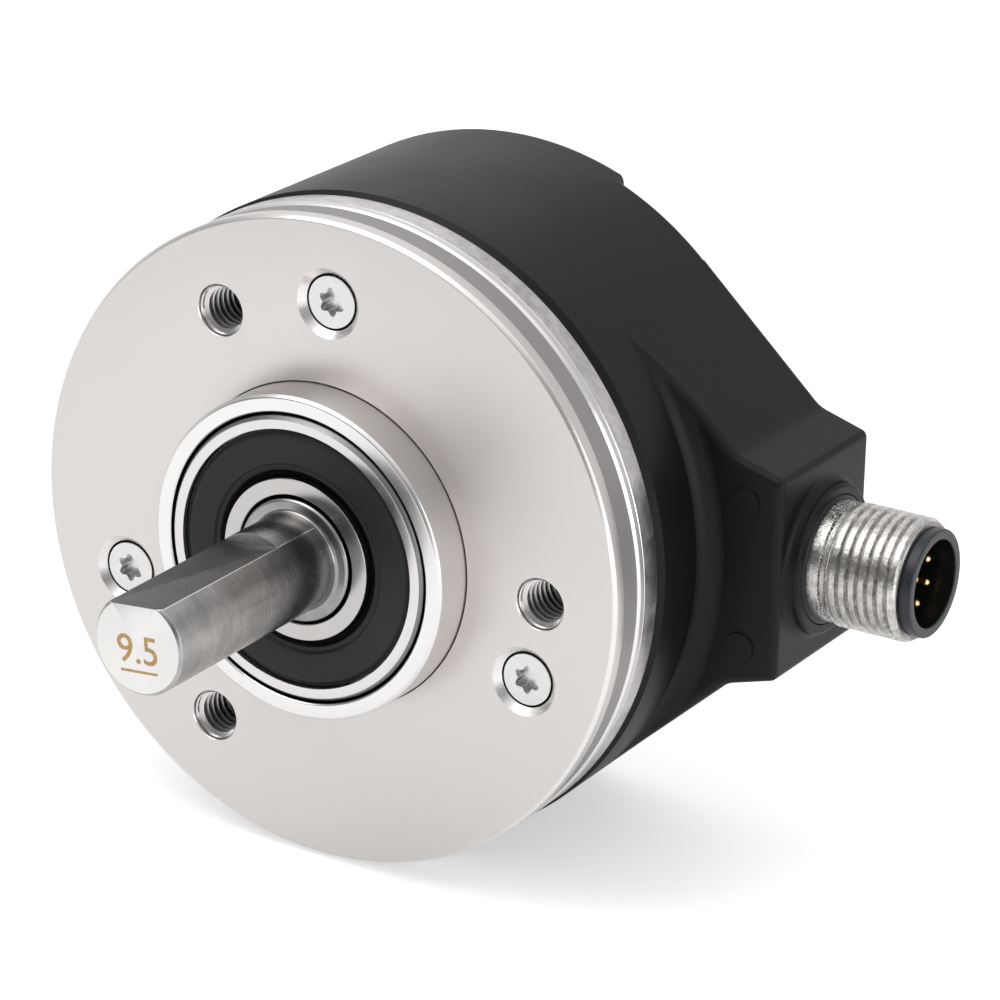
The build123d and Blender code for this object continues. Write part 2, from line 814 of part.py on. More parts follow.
with BuildPart() as pod:
    with BuildSketch(across(pod_front_y)):
        pod_face()
    extrude(amount=-(pod_rear_y - pod_front_y))
    fillet(pod.edges().filter_by(Axis.Y).group_by(Axis.X)[-1], pod_edge_r)
    add(pod_blend.part)
    front_rim = pod.edges().filter_by_position(Axis.Y, pod_front_y - 0.01, pod_front_y + 0.01)
    fillet([e for e in front_rim if e.center().X > slope_start[0] + 0.01
            and e.length < 2 * pod_face_half], pod_edge_r)
    rear_rim = pod.edges().group_by(Axis.Y)[-1]
    fillet([e for e in rear_rim if e.center().X > slope_start[0] + 0.01], pod_rear_edge_r)

# Housing: a drafted cup with the pod on its side, three screw bosses and a lower rear by the pod
cavity_rear = pod_rear_y - housing_wall
deep_rear = housing_rear_y - housing_wall
cover_screw_tip = cover_head_sink + cover_screw_length
boss_hole_depth = cover_screw_tip + 0.8 - spigot_rear
with BuildPart() as housing:
    turned(
        (0, housing_front_y),
        (housing_front_r - housing_front_edge, housing_front_y),
        (housing_front_r, housing_front_y + housing_front_edge),
        (housing_rear_r, housing_rear_y),
        (0, housing_rear_y),
    )
    rear_circle = housing.edges().filter_by(GeomType.CIRCLE).group_by(Axis.Y)[-1]
    fillet(rear_circle, housing_rear_edge)
    with BuildSketch(across(pod_rear_y)):
        with Locations((rear_step_x, 0)):
            Rectangle(2 * housing_front_r, 3 * housing_front_r, align=(Align.MIN, Align.CENTER))
    extrude(amount=-(housing_rear_y - pod_rear_y + 1), mode=Mode.SUBTRACT)
    low_rim = housing.edges().filter_by_position(Axis.Y, pod_rear_y - 0.01, pod_rear_y + 0.01)
    fillet(low_rim.sort_by(Axis.X)[-1], pod_rear_edge_r)
    add(pod.part)
    for z in (-pad_z, pad_z):
        with BuildSketch(across(pod_front_y - pad_height)):
            with Locations((pad_x, z)):
                Circle(pad_r)
        extrude(amount=-(pad_height + 0.5), taper=-12)
    connector_turned(
        (pod_face_x - 0.5, 0),
        (pod_face_x - 0.5, collar_r),
        (collar_x, collar_r),
        (collar_x, 0),
    )
    collar_rim = housing.edges().filter_by(GeomType.CIRCLE).group_by(Axis.X)[-1]
    fillet(collar_rim, collar_edge)
    collar_root = housing.edges().filter_by(GeomType.CIRCLE).filter_by_position(
        Axis.X, pod_face_x - 0.01, pod_face_x + 0.01)
    fillet(collar_root.sort_by(SortBy.RADIUS)[-1], collar_root_r)
    with BuildSketch(across(housing_front_y)):
        Circle(spigot_r + spigot_play)
    extrude(amount=-spigot_length, mode=Mode.SUBTRACT)
    with BuildSketch(across(housing_front_y)):
        Circle(cavity_r)
    extrude(amount=-(cavity_rear - housing_front_y), mode=Mode.SUBTRACT)
    with BuildSketch(across(cavity_rear - 0.01)):
        Circle(cavity_r)
        with Locations((rear_step_x - housing_wall, 0)):
            Rectangle(2 * housing_front_r, 3 * housing_front_r, align=(Align.MIN, Align.CENTER),
                      mode=Mode.SUBTRACT)
    extrude(amount=-(deep_rear - cavity_rear), mode=Mode.SUBTRACT)
    with BuildSketch(across(pod_front_y + housing_wall)):
        pod_face(housing_wall)
        with BuildLine():
            Polyline((cavity_r * 0.7, valley[1]), (valley_x, valley[1] * 0.6),
                     (valley_x, -valley[1] * 0.6), (cavity_r * 0.7, -valley[1]), close=True)
        make_face()
    extrude(amount=-(cavity_rear - pod_front_y - housing_wall), mode=Mode.SUBTRACT)
    for angle in cover_screw_angles:
        boss_x, boss_z = on_circle(bolt_circle_r, angle)
        boss_rear = cavity_rear if boss_x > rear_step_x - housing_wall else deep_rear
        with BuildSketch(across(spigot_rear)):
            with Locations((boss_x, boss_z)):
                Circle(boss_r)
            with Locations(Location((0, 0, 0), (0, 0, 1), angle)):
                with Locations((bolt_circle_r, 0)):
                    Rectangle(cavity_r + 0.3 - bolt_circle_r, boss_rib,
                              align=(Align.MIN, Align.CENTER))
        extrude(amount=-(boss_rear + 0.5 - spigot_rear))
    drill(cover_screw_r + boss_screw_play, spigot_rear, boss_hole_depth, cover_screw_places)
    connector_bore = shank_r + 0.03
    with BuildSketch(along_connector(seat_x)):
        Circle(collar_recess_r)
    extrude(amount=collar_recess_depth + 1, mode=Mode.SUBTRACT)
    with BuildSketch(along_connector(wall_inner_x - 1)):
        Circle(connector_bore)
    extrude(amount=collar_height + housing_wall + 1, mode=Mode.SUBTRACT)
keep(housing.part, "housing")

# Countersunk screws that hold the housing to the flange, driven in from the front
cone_depth = cover_head_r - cover_screw_r
with BuildPart() as cover_screws:
    for x, z in cover_screw_places:
        with BuildSketch(Plane(origin=(x, 0, z), x_dir=(1, 0, 0), z_dir=(0, 0, 1))):
            with BuildLine():
                Polyline((0, cover_head_sink), (cover_head_r, cover_head_sink),
                         (cover_head_r, cover_head_sink + 0.15),
                         (cover_screw_r - boss_screw_play, cover_head_sink + cone_depth + 0.2),
                         (cover_screw_r - boss_screw_play, cover_screw_tip - 0.4),
                         (cover_screw_r - 0.4, cover_screw_tip), (0, cover_screw_tip), close=True)
            make_face()
        revolve(axis=Axis((x, 0, z), (0, 1, 0)))
keep(cover_screws.part, "cover_screws")

# Connector: threaded shell, seal, lock nut, insert with its coding key, and the contact pins
with BuildPart() as connector_shell:
    connector_turned(
        (shell_rear_x, shell_wall_bore_r),
        (shell_rear_x, shank_r),
        (seat_x, shank_r),
        (seat_x, root_collar_r),
        (neck_x - 0.15, root_collar_r),
        (neck_x, neck_r),
        (thread_x, neck_r),
        (thread_x + 0.5, thread_r),
        (shell_end_x - 0.5, thread_r),
        (shell_end_x, thread_r - 0.5),
        (shell_end_x, shell_wall_bore_r),
    )
keep(connector_shell.part, "connector_shell")

seal_inner_r = root_collar_r + 0.03
seal_outer_r = collar_recess_r - 0.05
seal_round = (seal_outer_r - seal_inner_r) / 2
with BuildPart() as connector_seal:
    with BuildSketch(Plane(origin=(seat_x, connector_y, 0))):
        with BuildLine():
            Polyline((seal_height - seal_round, seal_inner_r), (0, seal_inner_r),
                     (0, seal_outer_r), (seal_height - seal_round, seal_outer_r))
            ThreePointArc((seal_height - seal_round, seal_outer_r),
                          (seal_height, (seal_outer_r + seal_inner_r) / 2),
                          (seal_height - seal_round, seal_inner_r))
        make_face()
    revolve(axis=Axis((0, connector_y, 0), (1, 0, 0)))
keep(connector_seal.part, "connector_seal")

with BuildPart() as connector_lock_nut:
    with BuildSketch(along_connector(wall_inner_x - nut_thickness)):
        RegularPolygon(nut_across / 2, 6, major_radius=False, rotation=30)
        Circle(shank_r + 0.02, mode=Mode.SUBTRACT)
    extrude(amount=nut_thickness)
keep(connector_lock_nut.part, "connector_lock_nut")

pin_places = [(0, 0)] + [on_circle(pin_circle_r, pin_first_angle + 360 / pin_count * k)
                         for k in range(pin_count)]
insert_r = shell_wall_bore_r - 0.02
with BuildPart() as connector_insert:
    connector_turned(
        (shell_rear_x, 0),
        (shell_rear_x, insert_r),
        (shell_end_x, insert_r),
        (shell_end_x, nose_r),
        (nose_x - 0.15, nose_r),
        (nose_x, nose_r - 0.15),
        (nose_x, socket_r),
        (socket_floor_x, socket_r),
        (socket_floor_x, 0),
    )
    key_angle = 140.0
    with BuildSketch(along_connector(socket_floor_x - 0.1)):
        with Locations(Location((0, 0, 0), (0, 0, 1), key_angle)):
            with Locations((socket_r - key_height, 0)):
                Rectangle(key_height + 0.1, key_width, align=(Align.MIN, Align.CENTER))
    extrude(amount=socket_depth - 0.5)
    with BuildSketch(along_connector(shell_rear_x)):
        with Locations(*pin_places):
            Circle(pin_r + 0.02)
    extrude(amount=socket_floor_x - shell_rear_x, mode=Mode.SUBTRACT)
keep(connector_insert.part, "connector_insert")

pin_tip_x = nose_x - pin_recess
with BuildPart() as contact_pins:
    with BuildSketch(along_connector(pin_rear_x)):
        with Locations(*pin_places):
            Circle(pin_r)
    extrude(amount=pin_tip_x - pin_rear_x)
    tips = contact_pins.edges().group_by(Axis.X)[-1]
    chamfer(tips, pin_r * 0.45)
keep(contact_pins.part, "contact_pins")

# Small board soldered to the contact pins, and the ribbon from it to the board's header
small_board_x = pin_rear_x + 0.1
with BuildPart() as connector_board:
    with BuildSketch(along_connector(small_board_x)):
        Circle(connector_board_r)
        with Locations(*pin_places):
            Circle(pin_r + 0.02, mode=Mode.SUBTRACT)
    extrude(amount=connector_board_thickness)
keep(connector_board.part, "connector_board")

ribbon_start = (header_x + header_length, board_y - header_height / 2)
ribbon_end = (pin_rear_x - 0.02, connector_y)
with BuildPart() as ribbon_lead:
    with BuildSketch(Plane.XY):
        with BuildLine():
            Spline(ribbon_start, ribbon_end, tangents=((1, 0), (1, 0)))
        trace(line_width=ribbon_thickness)
    extrude(amount=ribbon_width / 2, both=True)
keep(ribbon_lead.part, "ribbon_lead")
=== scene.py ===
"""Studio picture of an incremental rotary encoder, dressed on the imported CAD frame.

Sizes are in millimetres in the sections on shapes, and each finished mesh is scaled to metres.
The shaft lies along Y and points to -Y, the connector points to +X and +Z is up.
"""

from math import atan2, cos, hypot, radians, sin, tau

import bmesh
import bpy
from mathutils import Matrix, Vector


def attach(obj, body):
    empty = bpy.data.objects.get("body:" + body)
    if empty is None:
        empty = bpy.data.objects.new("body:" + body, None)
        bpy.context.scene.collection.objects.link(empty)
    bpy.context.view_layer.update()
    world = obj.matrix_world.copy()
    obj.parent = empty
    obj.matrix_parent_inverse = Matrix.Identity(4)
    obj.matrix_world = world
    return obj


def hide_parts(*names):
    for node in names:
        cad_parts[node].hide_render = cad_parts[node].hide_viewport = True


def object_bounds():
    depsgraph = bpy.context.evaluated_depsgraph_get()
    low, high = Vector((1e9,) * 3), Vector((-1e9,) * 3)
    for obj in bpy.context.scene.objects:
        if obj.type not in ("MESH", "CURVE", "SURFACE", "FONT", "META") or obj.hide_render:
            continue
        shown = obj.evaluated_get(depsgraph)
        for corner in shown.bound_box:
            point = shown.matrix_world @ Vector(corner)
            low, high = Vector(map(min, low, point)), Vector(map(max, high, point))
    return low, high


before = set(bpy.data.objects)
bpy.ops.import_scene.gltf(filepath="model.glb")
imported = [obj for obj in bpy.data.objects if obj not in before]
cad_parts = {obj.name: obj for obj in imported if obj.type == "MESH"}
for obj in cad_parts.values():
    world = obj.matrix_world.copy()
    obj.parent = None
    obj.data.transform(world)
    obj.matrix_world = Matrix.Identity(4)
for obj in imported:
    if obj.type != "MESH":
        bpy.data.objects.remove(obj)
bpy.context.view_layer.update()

MM = 0.001

# Sizes of the flange: the solid model's, except for the clamp groove and the fine slits and lines
FLANGE_R = 31.75
FACE_CHAMFER = 0.35
CLAMP_GROOVE = (1.7, 4.5)
CLAMP_GROOVE_DEPTH = 0.2
FLANGE_THICKNESS = 7.7
SKIRT_START = 5.15
PILOT_R = 15.875
PILOT_LENGTH = 4.4
PILOT_CHAMFER = 0.3
PILOT_UNDERCUT = 0.3
PILOT_GROOVE = 0.11
BEARING_SLIT = 0.2
BEARING_SLIT_DEPTH = 1.6
SPIGOT_R = 29.2
SPIGOT_REAR = 12.5
O_RING_GROOVE = (9.05, 11.15)
O_RING_GROOVE_DEPTH = 1.53
BOLT_CIRCLE_R = 23.8125
TAPPED_ANGLES = (-0.85, 119.15, 239.15)
TAPPED_R = 2.415
TAPPED_DEPTH = 7.0
TAPPED_PITCH = 0.79
SCREW_ANGLES = (89.1, 198.9, 339.4)
SCREW_R = 1.5
SCREW_HEAD_R = 2.55
SCREW_HEAD_SINK = 0.6
SCREW_LENGTH = 18.0
COUNTERSINK_R = 3.35
RECESS_DEPTH = 1.0
RECESS_R = 1.2
RECESS_LOBE = 0.2
HUB_R = 18.0
HUB_REAR = 16.65
SHOULDER = (3.45, 5.45)
SHOULDER_R = 12.4
SNAP_GROOVE = (14.25, 15.35)
BORE_GROOVE_DEPTH = 0.6
BORE_PLAY = 0.01

# Sizes of the front bearing
BEARING_R = 14.0
BEARING_BORE_R = 6.0
BEARING_WIDTH = 8.0
BEARING_FRONT = -4.55
INNER_LAND_R = 7.9
SEAL_SEAT_R = 12.65

# Sizes of the shaft
SHAFT_R = 4.7625
SHAFT_END = -29.3
SHAFT_TAIL = 24.0
TAIL_R = 4.99
JOURNAL_R = 5.99
JOURNAL_FRONT = -4.85
JOURNAL_REAR = 16.25
SHAFT_GROOVE_DEPTH = 0.4
FLAT_DEPTH = 1.0
FLAT_END = -11.2
FLAT_TURN = 5.1
MARK_SIZE = 3.8
MARK_TURN = 5.0
MARK_LINE = (4.0, 0.24, 0.024)
SHADED_LENGTH = 30

# Sizes of the connector: the solid model's, except for a wider root collar and neck, and the thread
CONNECTOR_Y = 24.35
SHELL_REAR_X = 32.7
SHANK_R = 4.95
SEAT_X = 39.9
ROOT_COLLAR_R = 5.75
NECK_X = 42.4
NECK_R = 5.45
THREAD_X = 42.9
THREAD_R = 5.93
THREAD_ROOT_R = 5.55
THREAD_PITCH = 1.0
THREAD_END_X = 50.4
SHELL_BORE_R = 4.45
NOSE_X = 51.6
NOSE_R = 5.18
SOCKET_R = 4.2
SOCKET_FLOOR_X = 42.1
PIN_R = 0.4
PIN_CIRCLE_R = 2.75
PIN_COUNT = 7
PIN_FIRST_ANGLE = 27.0
PIN_TIP_X = 49.8
PIN_REAR_X = 31.5
KEY_ANGLE = 140.0
KEY_WIDTH = 1.2
KEY_HEIGHT = 0.45
SEAL_INNER_R = 5.38
SEAL_OUTER_R = 6.25
SEAL_HEIGHT = 1.3

# Studio: glow of the floor as the camera sees it, and as bright metal mirrors it
FLOOR_GLOW = 0.49
FLOOR_MIRROR_GLOW = 0.25
FLOOR_HALF_SIDE = 3.0
FLOOR_GAP = 0.0002

# Places: along the shaft with the turning axis on Y, and along the connector's axis
ON_SHAFT = Matrix(((1, 0, 0, 0), (0, 0, 1, 0), (0, -1, 0, 0), (0, 0, 0, 1)))
ON_CONNECTOR = Matrix(((0, 0, 1, 0), (1, 0, 0, CONNECTOR_Y), (0, 1, 0, 0), (0, 0, 0, 1)))


def on_circle(radius, angle):
    """Point of a circle in a plane square to its axis."""
    return radius * cos(radians(angle)), radius * sin(radians(angle))


def beside_shaft(radius, angle):
    """Place of a hole or screw that runs along the shaft, on a circle round it."""
    x, z = on_circle(radius, angle)
    return Matrix.Translation((x, 0, z)) @ ON_SHAFT


def from_shaft(point):
    """Distance of a point from the shaft's axis."""
    return hypot(point.x, point.z)


def from_connector(point):
    """Distance of a point from the connector's axis."""
    return hypot(point.y - CONNECTOR_Y, point.z)


def from_nearest(point, angles):
    """Distance of a point from the nearest axis at these angles on the bolt circle."""
    places = [on_circle(BOLT_CIRCLE_R, angle) for angle in angles]
    return min(hypot(point.x - x, point.z - z) for x, z in places)


# Shader groups

def node_group(name, inputs, outputs):
    """Empty shader group with named sockets."""
    group = bpy.data.node_groups.new(name, "ShaderNodeTree")
    for socket, default in inputs:
        made = group.interface.new_socket(socket, in_out="INPUT", socket_type="NodeSocketFloat")
        made.default_value = default
    for socket, kind in outputs:
        group.interface.new_socket(socket, in_out="OUTPUT", socket_type=kind)
    start = group.nodes.new("NodeGroupInput")
    end = group.nodes.new("NodeGroupOutput")
    return group, start, end


def math_node(tree, operation, first, second=0.0):
    """Math node with sockets or numbers as its inputs."""
    node = tree.nodes.new("ShaderNodeMath")
    node.operation = operation
    for index, value in enumerate((first, second)):
        if isinstance(value, (int, float)):
            node.inputs[index].default_value = value
        else:
            tree.links.new(value, node.inputs[index])
    return node.outputs[0]


def noise_node(tree, vector, scale, detail=4.0, roughness=0.6):
    """Noise texture on a vector socket."""
    node = tree.nodes.new("ShaderNodeTexNoise")
    node.inputs["Detail"].default_value = detail
    node.inputs["Roughness"].default_value = roughness
    tree.links.new(vector, node.inputs["Vector"])
    if isinstance(scale, (int, float)):
        node.inputs["Scale"].default_value = scale
    else:
        tree.links.new(scale, node.inputs["Scale"])
    return node.outputs["Fac"]


def point_in_mm(tree):
    """Object coordinates in millimetres."""
    point = tree.nodes.new("ShaderNodeTexCoord")
    scaled = tree.nodes.new("ShaderNodeMapping")
    scaled.inputs["Scale"].default_value = (1 / MM, 1 / MM, 1 / MM)
    tree.links.new(point.outputs["Object"], scaled.inputs["Vector"])
    return scaled.outputs["Vector"]


def grey_ramp(tree, value, steps):
    """Grey ramp over a value from 0 to 1, from (value, light) steps."""
    ramp = tree.nodes.new("ShaderNodeValToRGB")
    tree.links.new(value, ramp.inputs["Fac"])
    first, last = ramp.color_ramp.elements
    first.position, last.position = steps[0][0], steps[-1][0]
    first.color = (steps[0][1],) * 3 + (1,)
    last.color = (steps[-1][1],) * 3 + (1,)
    for position, light in steps[1:-1]:
        ramp.color_ramp.elements.new(position).color = (light, light, light, 1)
    return ramp.outputs["Color"]


def turning_marks_group(name):
    """Tool marks that run round the shaft, and soft patches."""
    group, start, end = node_group(name, (("Marks per mm", 6.0), ("Patch size", 0.15)),
                                   (("Height", "NodeSocketFloat"), ("Patches", "NodeSocketFloat")))
    point = point_in_mm(group)
    parts = group.nodes.new("ShaderNodeSeparateXYZ")
    group.links.new(point, parts.inputs[0])
    squares = [math_node(group, "MULTIPLY", parts.outputs[axis], parts.outputs[axis])
               for axis in ("X", "Z")]
    radius = math_node(group, "SQRT", math_node(group, "ADD", *squares))
    rings = group.nodes.new("ShaderNodeCombineXYZ")
    group.links.new(radius, rings.inputs["X"])
    group.links.new(parts.outputs["Y"], rings.inputs["Y"])
    marks = noise_node(group, rings.outputs[0], start.outputs["Marks per mm"], 3.0, 0.7)
    patches = noise_node(group, point, start.outputs["Patch size"], 5.0, 0.6)
    group.links.new(marks, end.inputs["Height"])
    group.links.new(patches, end.inputs["Patches"])
    return group


def grain_group(name):
    """Fine grain of a moulded, plated or worn surface, with larger soft patches."""
    group, start, end = node_group(name, (("Grains per mm", 8.0), ("Patch size", 0.2)),
                                   (("Height", "NodeSocketFloat"), ("Patches", "NodeSocketFloat")))
    point = point_in_mm(group)
    group.links.new(noise_node(group, point, start.outputs["Grains per mm"], 4.0, 0.65),
                    end.inputs["Height"])
    group.links.new(noise_node(group, point, start.outputs["Patch size"], 4.0, 0.55),
                    end.inputs["Patches"])
    return group


TURNED_ROUND_SHAFT = turning_marks_group("turned_round_shaft")
FINE_GRAIN = grain_group("fine_grain")


# Materials

def surface(name, color, metallic, roughness, texture, fine, patch_size, bump=0.02,
            color_swing=0.1, rough_swing=0.15, specular=0.5, contrast=0.2):
    """Material whose colour, roughness and bump vary with a shared texture group."""
    material = bpy.data.materials.new(name)
    material.use_nodes = True
    tree = material.node_tree
    shader = tree.nodes["Principled BSDF"]
    shader.inputs["Metallic"].default_value = metallic
    shader.inputs["Specular IOR Level"].default_value = specular
    marks = tree.nodes.new("ShaderNodeGroup")
    marks.node_tree = texture
    marks.inputs[0].default_value = fine
    marks.inputs[1].default_value = patch_size
    tint = tree.nodes.new("ShaderNodeValToRGB")
    tint.color_ramp.elements[0].position = 0.5 - contrast
    tint.color_ramp.elements[1].position = 0.5 + contrast
    tint.color_ramp.elements[0].color = (*[c * (1 - color_swing) for c in color], 1)
    tint.color_ramp.elements[1].color = (*[min(1.0, c * (1 + color_swing)) for c in color], 1)
    both = math_node(tree, "MULTIPLY_ADD", marks.outputs["Height"], 0.5)
    patch_half = math_node(tree, "MULTIPLY", marks.outputs["Patches"], 0.5)
    tree.links.new(patch_half, both.node.inputs[2])
    tree.links.new(both, tint.inputs["Fac"])
    tree.links.new(tint.outputs["Color"], shader.inputs["Base Color"])
    rough = tree.nodes.new("ShaderNodeMapRange")
    rough.inputs["From Min"].default_value = 0.3
    rough.inputs["From Max"].default_value = 0.7
    rough.inputs["To Min"].default_value = roughness * (1 - rough_swing)
    rough.inputs["To Max"].default_value = min(1.0, roughness * (1 + rough_swing))
    tree.links.new(both, rough.inputs["Value"])
    tree.links.new(rough.outputs["Result"], shader.inputs["Roughness"])
    bumps = tree.nodes.new("ShaderNodeBump")
    bumps.inputs["Strength"].default_value = 1.0
    bumps.inputs["Distance"].default_value = bump * MM
    tree.links.new(marks.outputs["Height"], bumps.inputs["Height"])
    tree.links.new(bumps.outputs["Normal"], shader.inputs["Normal"])
    return material


def anisotropic_round_shaft(material, amount):
    """Reflections stretched across turning marks that run round the shaft."""
    tree = material.node_tree
    tangent = tree.nodes.new("ShaderNodeTangent")
    tangent.direction_type = "RADIAL"
    tangent.axis = "Y"
    shader = tree.nodes["Principled BSDF"]
    shader.inputs["Anisotropic"].default_value = amount
    tree.links.new(tangent.outputs["Tangent"], shader.inputs["Tangent"])
    return material


def darker_by_the_bearing(material):
    """Shaft colour that falls towards the dark seal it mirrors, and rises at the collar."""
    tree = material.node_tree
    shader = tree.nodes["Principled BSDF"]
    parts = tree.nodes.new("ShaderNodeSeparateXYZ")
    tree.links.new(point_in_mm(tree), parts.inputs[0])
    share = math_node(tree, "MULTIPLY_ADD", parts.outputs["Y"], 1 / SHADED_LENGTH)
    share.node.inputs[2].default_value = 1.0
    light = grey_ramp(tree, share, ((0.0, 1.0), (0.3, 0.95), (0.58, 0.6), (0.75, 0.55), (0.84, 0.85)))
    both = tree.nodes.new("ShaderNodeMix")
    both.data_type = "RGBA"
    both.blend_type = "MULTIPLY"
    both.inputs["Factor"].default_value = 1.0
    tree.links.new(shader.inputs["Base Color"].links[0].from_socket, both.inputs["A"])
    tree.links.new(light, both.inputs["B"])
    tree.links.new(both.outputs["Result"], shader.inputs["Base Color"])
    return material


FLANGE_ALUMINIUM = surface("flange_aluminium", (0.74, 0.71, 0.695), 1.0, 0.42,
                           TURNED_ROUND_SHAFT, 7.0, 0.08, bump=0.004, color_swing=0.035)
# Lighter, smoother turning for the pilot face and rounded edges: partly the smoother finish, partly
# painted highlight.
BRIGHT_TURNED_WITH_HIGHLIGHT = surface("bright_turned_aluminium_with_painted_highlight", (0.84, 0.83, 0.82), 1.0, 0.24,
                        TURNED_ROUND_SHAFT, 9.0, 0.2, bump=0.002, color_swing=0.03)
GROOVE_ALUMINIUM = surface("groove_floor_aluminium", (0.38, 0.365, 0.36), 1.0, 0.52,
                           TURNED_ROUND_SHAFT, 12.0, 0.08, bump=0.003, color_swing=0.03)
SKIRT_ALUMINIUM = surface("mottled_skirt_aluminium", (0.62, 0.6, 0.59), 1.0, 0.34,
                          FINE_GRAIN, 0.9, 0.12, bump=0.012, color_swing=0.4, rough_swing=0.3)
HOLE_ALUMINIUM = surface("cut_hole_aluminium", (0.84, 0.82, 0.81), 1.0, 0.28,
                         FINE_GRAIN, 5.0, 0.6, bump=0.004, color_swing=0.06)
THREAD_ALUMINIUM = surface("tapped_thread_aluminium", (0.72, 0.7, 0.69), 1.0, 0.3,
                           FINE_GRAIN, 5.0, 0.6, bump=0.004, color_swing=0.15)
# Near-black laid in slits, gaps, deep hole walls, thread roots and seal lips: painted shade where parts
# meet or sink.
PAINTED_GROOVE_SHADE = surface("painted_shade_in_grooves", (0.006, 0.0055, 0.0055), 0.0, 0.9,
                      FINE_GRAIN, 6.0, 0.5, bump=0.004, color_swing=0.3, specular=0.1)
OUTER_RING_STEEL = surface("ground_outer_ring_steel", (0.73, 0.715, 0.705), 1.0, 0.19,
                           TURNED_ROUND_SHAFT, 10.0, 0.5, bump=0.0015, color_swing=0.04)
BEARING_STEEL = surface("ground_bearing_steel", (0.55, 0.535, 0.525), 1.0, 0.22,
                        TURNED_ROUND_SHAFT, 10.0, 0.5, bump=0.0015, color_swing=0.05)
SHAFT_STEEL = darker_by_the_bearing(
    surface("turned_shaft_steel", (0.42, 0.41, 0.402), 1.0, 0.26, TURNED_ROUND_SHAFT, 5.0, 0.35,
            bump=0.005, color_swing=0.4))
# The milled flat's dark colour is a painted dark reflection.
FLAT_STEEL_DARK_REFLECTION = surface("milled_flat_steel_with_painted_dark_reflection", (0.17, 0.166, 0.163), 1.0, 0.34,
                     FINE_GRAIN, 4.0, 0.3, bump=0.006, color_swing=0.3)
END_STEEL = anisotropic_round_shaft(
    surface("faced_end_steel", (0.8, 0.79, 0.775), 1.0, 0.26, TURNED_ROUND_SHAFT, 8.0, 0.3,
            bump=0.001, color_swing=0.04), 0.85)
SEAL_RUBBER = surface("bearing_seal_rubber", (0.021, 0.0205, 0.0205), 0.0, 0.5,
                      FINE_GRAIN, 6.0, 0.3, bump=0.006, color_swing=0.15, specular=0.3)
CONNECTOR_RUBBER = surface("connector_seal_rubber", (0.01, 0.01, 0.01), 0.0, 0.42,
                           FINE_GRAIN, 6.0, 0.3, bump=0.004, color_swing=0.15, specular=0.35)
SCREW_ZINC = surface("screw_zinc", (0.74, 0.73, 0.72), 1.0, 0.26,
                     FINE_GRAIN, 4.0, 0.8, bump=0.006, color_swing=0.06)
# Darker, mottled zinc inside the screws' recesses: painted shade.
RECESS_ZINC_SHADE = surface("screw_recess_zinc_painted_shade", (0.66, 0.65, 0.64), 1.0, 0.28,
                      FINE_GRAIN, 2.5, 1.2, bump=0.08, color_swing=0.45)
# Dark steel on the outer ring's front chamfer: painted shade in the gap by the pilot.
PAINTED_SHADE_CHAMFER_STEEL = surface("chamfer_steel_painted_shade", (0.24, 0.235, 0.23), 1.0, 0.36,
                        TURNED_ROUND_SHAFT, 6.0, 0.5, bump=0.003, color_swing=0.15)
SPRING_STEEL = surface("spring_steel", (0.34, 0.33, 0.33), 1.0, 0.35,
                       FINE_GRAIN, 5.0, 0.4, bump=0.004)
HOUSING_BLACK = surface("housing_black", (0.006, 0.0055, 0.0056), 0.0, 0.42,
                        TURNED_ROUND_SHAFT, 3.0, 0.1, bump=0.004, color_swing=0.15, specular=0.22)
CAGE_PLASTIC = surface("cage_plastic", (0.55, 0.48, 0.36), 0.0, 0.5, FINE_GRAIN, 6.0, 0.3)
HOLDER_PLASTIC = surface("holder_plastic", (0.03, 0.03, 0.032), 0.0, 0.5, FINE_GRAIN, 6.0, 0.3)
CHIP_PLASTIC = surface("chip_plastic", (0.02, 0.02, 0.021), 0.0, 0.55, FINE_GRAIN, 9.0, 0.3)
CAPACITOR_CERAMIC = surface("capacitor_ceramic", (0.42, 0.28, 0.15), 0.0, 0.4, FINE_GRAIN, 8.0, 0.5)
HEADER_PLASTIC = surface("header_plastic", (0.72, 0.7, 0.64), 0.0, 0.45, FINE_GRAIN, 6.0, 0.3)
RIBBON_PLASTIC = surface("ribbon_plastic", (0.35, 0.35, 0.37), 0.0, 0.5, FINE_GRAIN, 6.0, 0.3)
PILLAR_BRASS = surface("pillar_brass", (0.72, 0.53, 0.24), 1.0, 0.3, FINE_GRAIN, 4.0, 0.3)
NICKEL = surface("nickel_plated_brass", (0.57, 0.555, 0.54), 1.0, 0.26,
                 FINE_GRAIN, 2.5, 0.9, bump=0.04, color_swing=0.4, contrast=0.15)
# Darker nickel in the thread's valleys: painted shade.
NICKEL_VALLEY_SHADE = surface("thread_valley_nickel_painted_shade", (0.36, 0.345, 0.335), 1.0, 0.4,
                        FINE_GRAIN, 3.0, 0.5, bump=0.03, color_swing=0.5)
ROUGH_NICKEL = surface("rough_nickel_collar", (0.36, 0.35, 0.34), 1.0, 0.4,
                       FINE_GRAIN, 6.0, 4.5, bump=0.15, color_swing=0.95, contrast=0.05)
INSERT_PLASTIC = surface("insert_plastic", (0.013, 0.017, 0.023), 0.0, 0.38,
                         FINE_GRAIN, 5.0, 0.3, bump=0.004, color_swing=0.1)
# Near-black inside the connector's socket: painted shade.
SOCKET_PAINTED_SHADE = surface("socket_inside_painted_shade", (0.005, 0.0055, 0.006), 0.0, 0.3,
                       FINE_GRAIN, 5.0, 0.3, bump=0.004, color_swing=0.1, specular=0.3)
CONTACT_GOLD = surface("contact_gold", (0.95, 0.68, 0.3), 1.0, 0.2,
                       FINE_GRAIN, 5.0, 0.5, bump=0.001, color_swing=0.05)
MARK_BROWN = surface("annealed_mark", (0.47, 0.31, 0.15), 1.0, 0.4,
                     FINE_GRAIN, 12.0, 1.5, bump=0.004, color_swing=0.35)


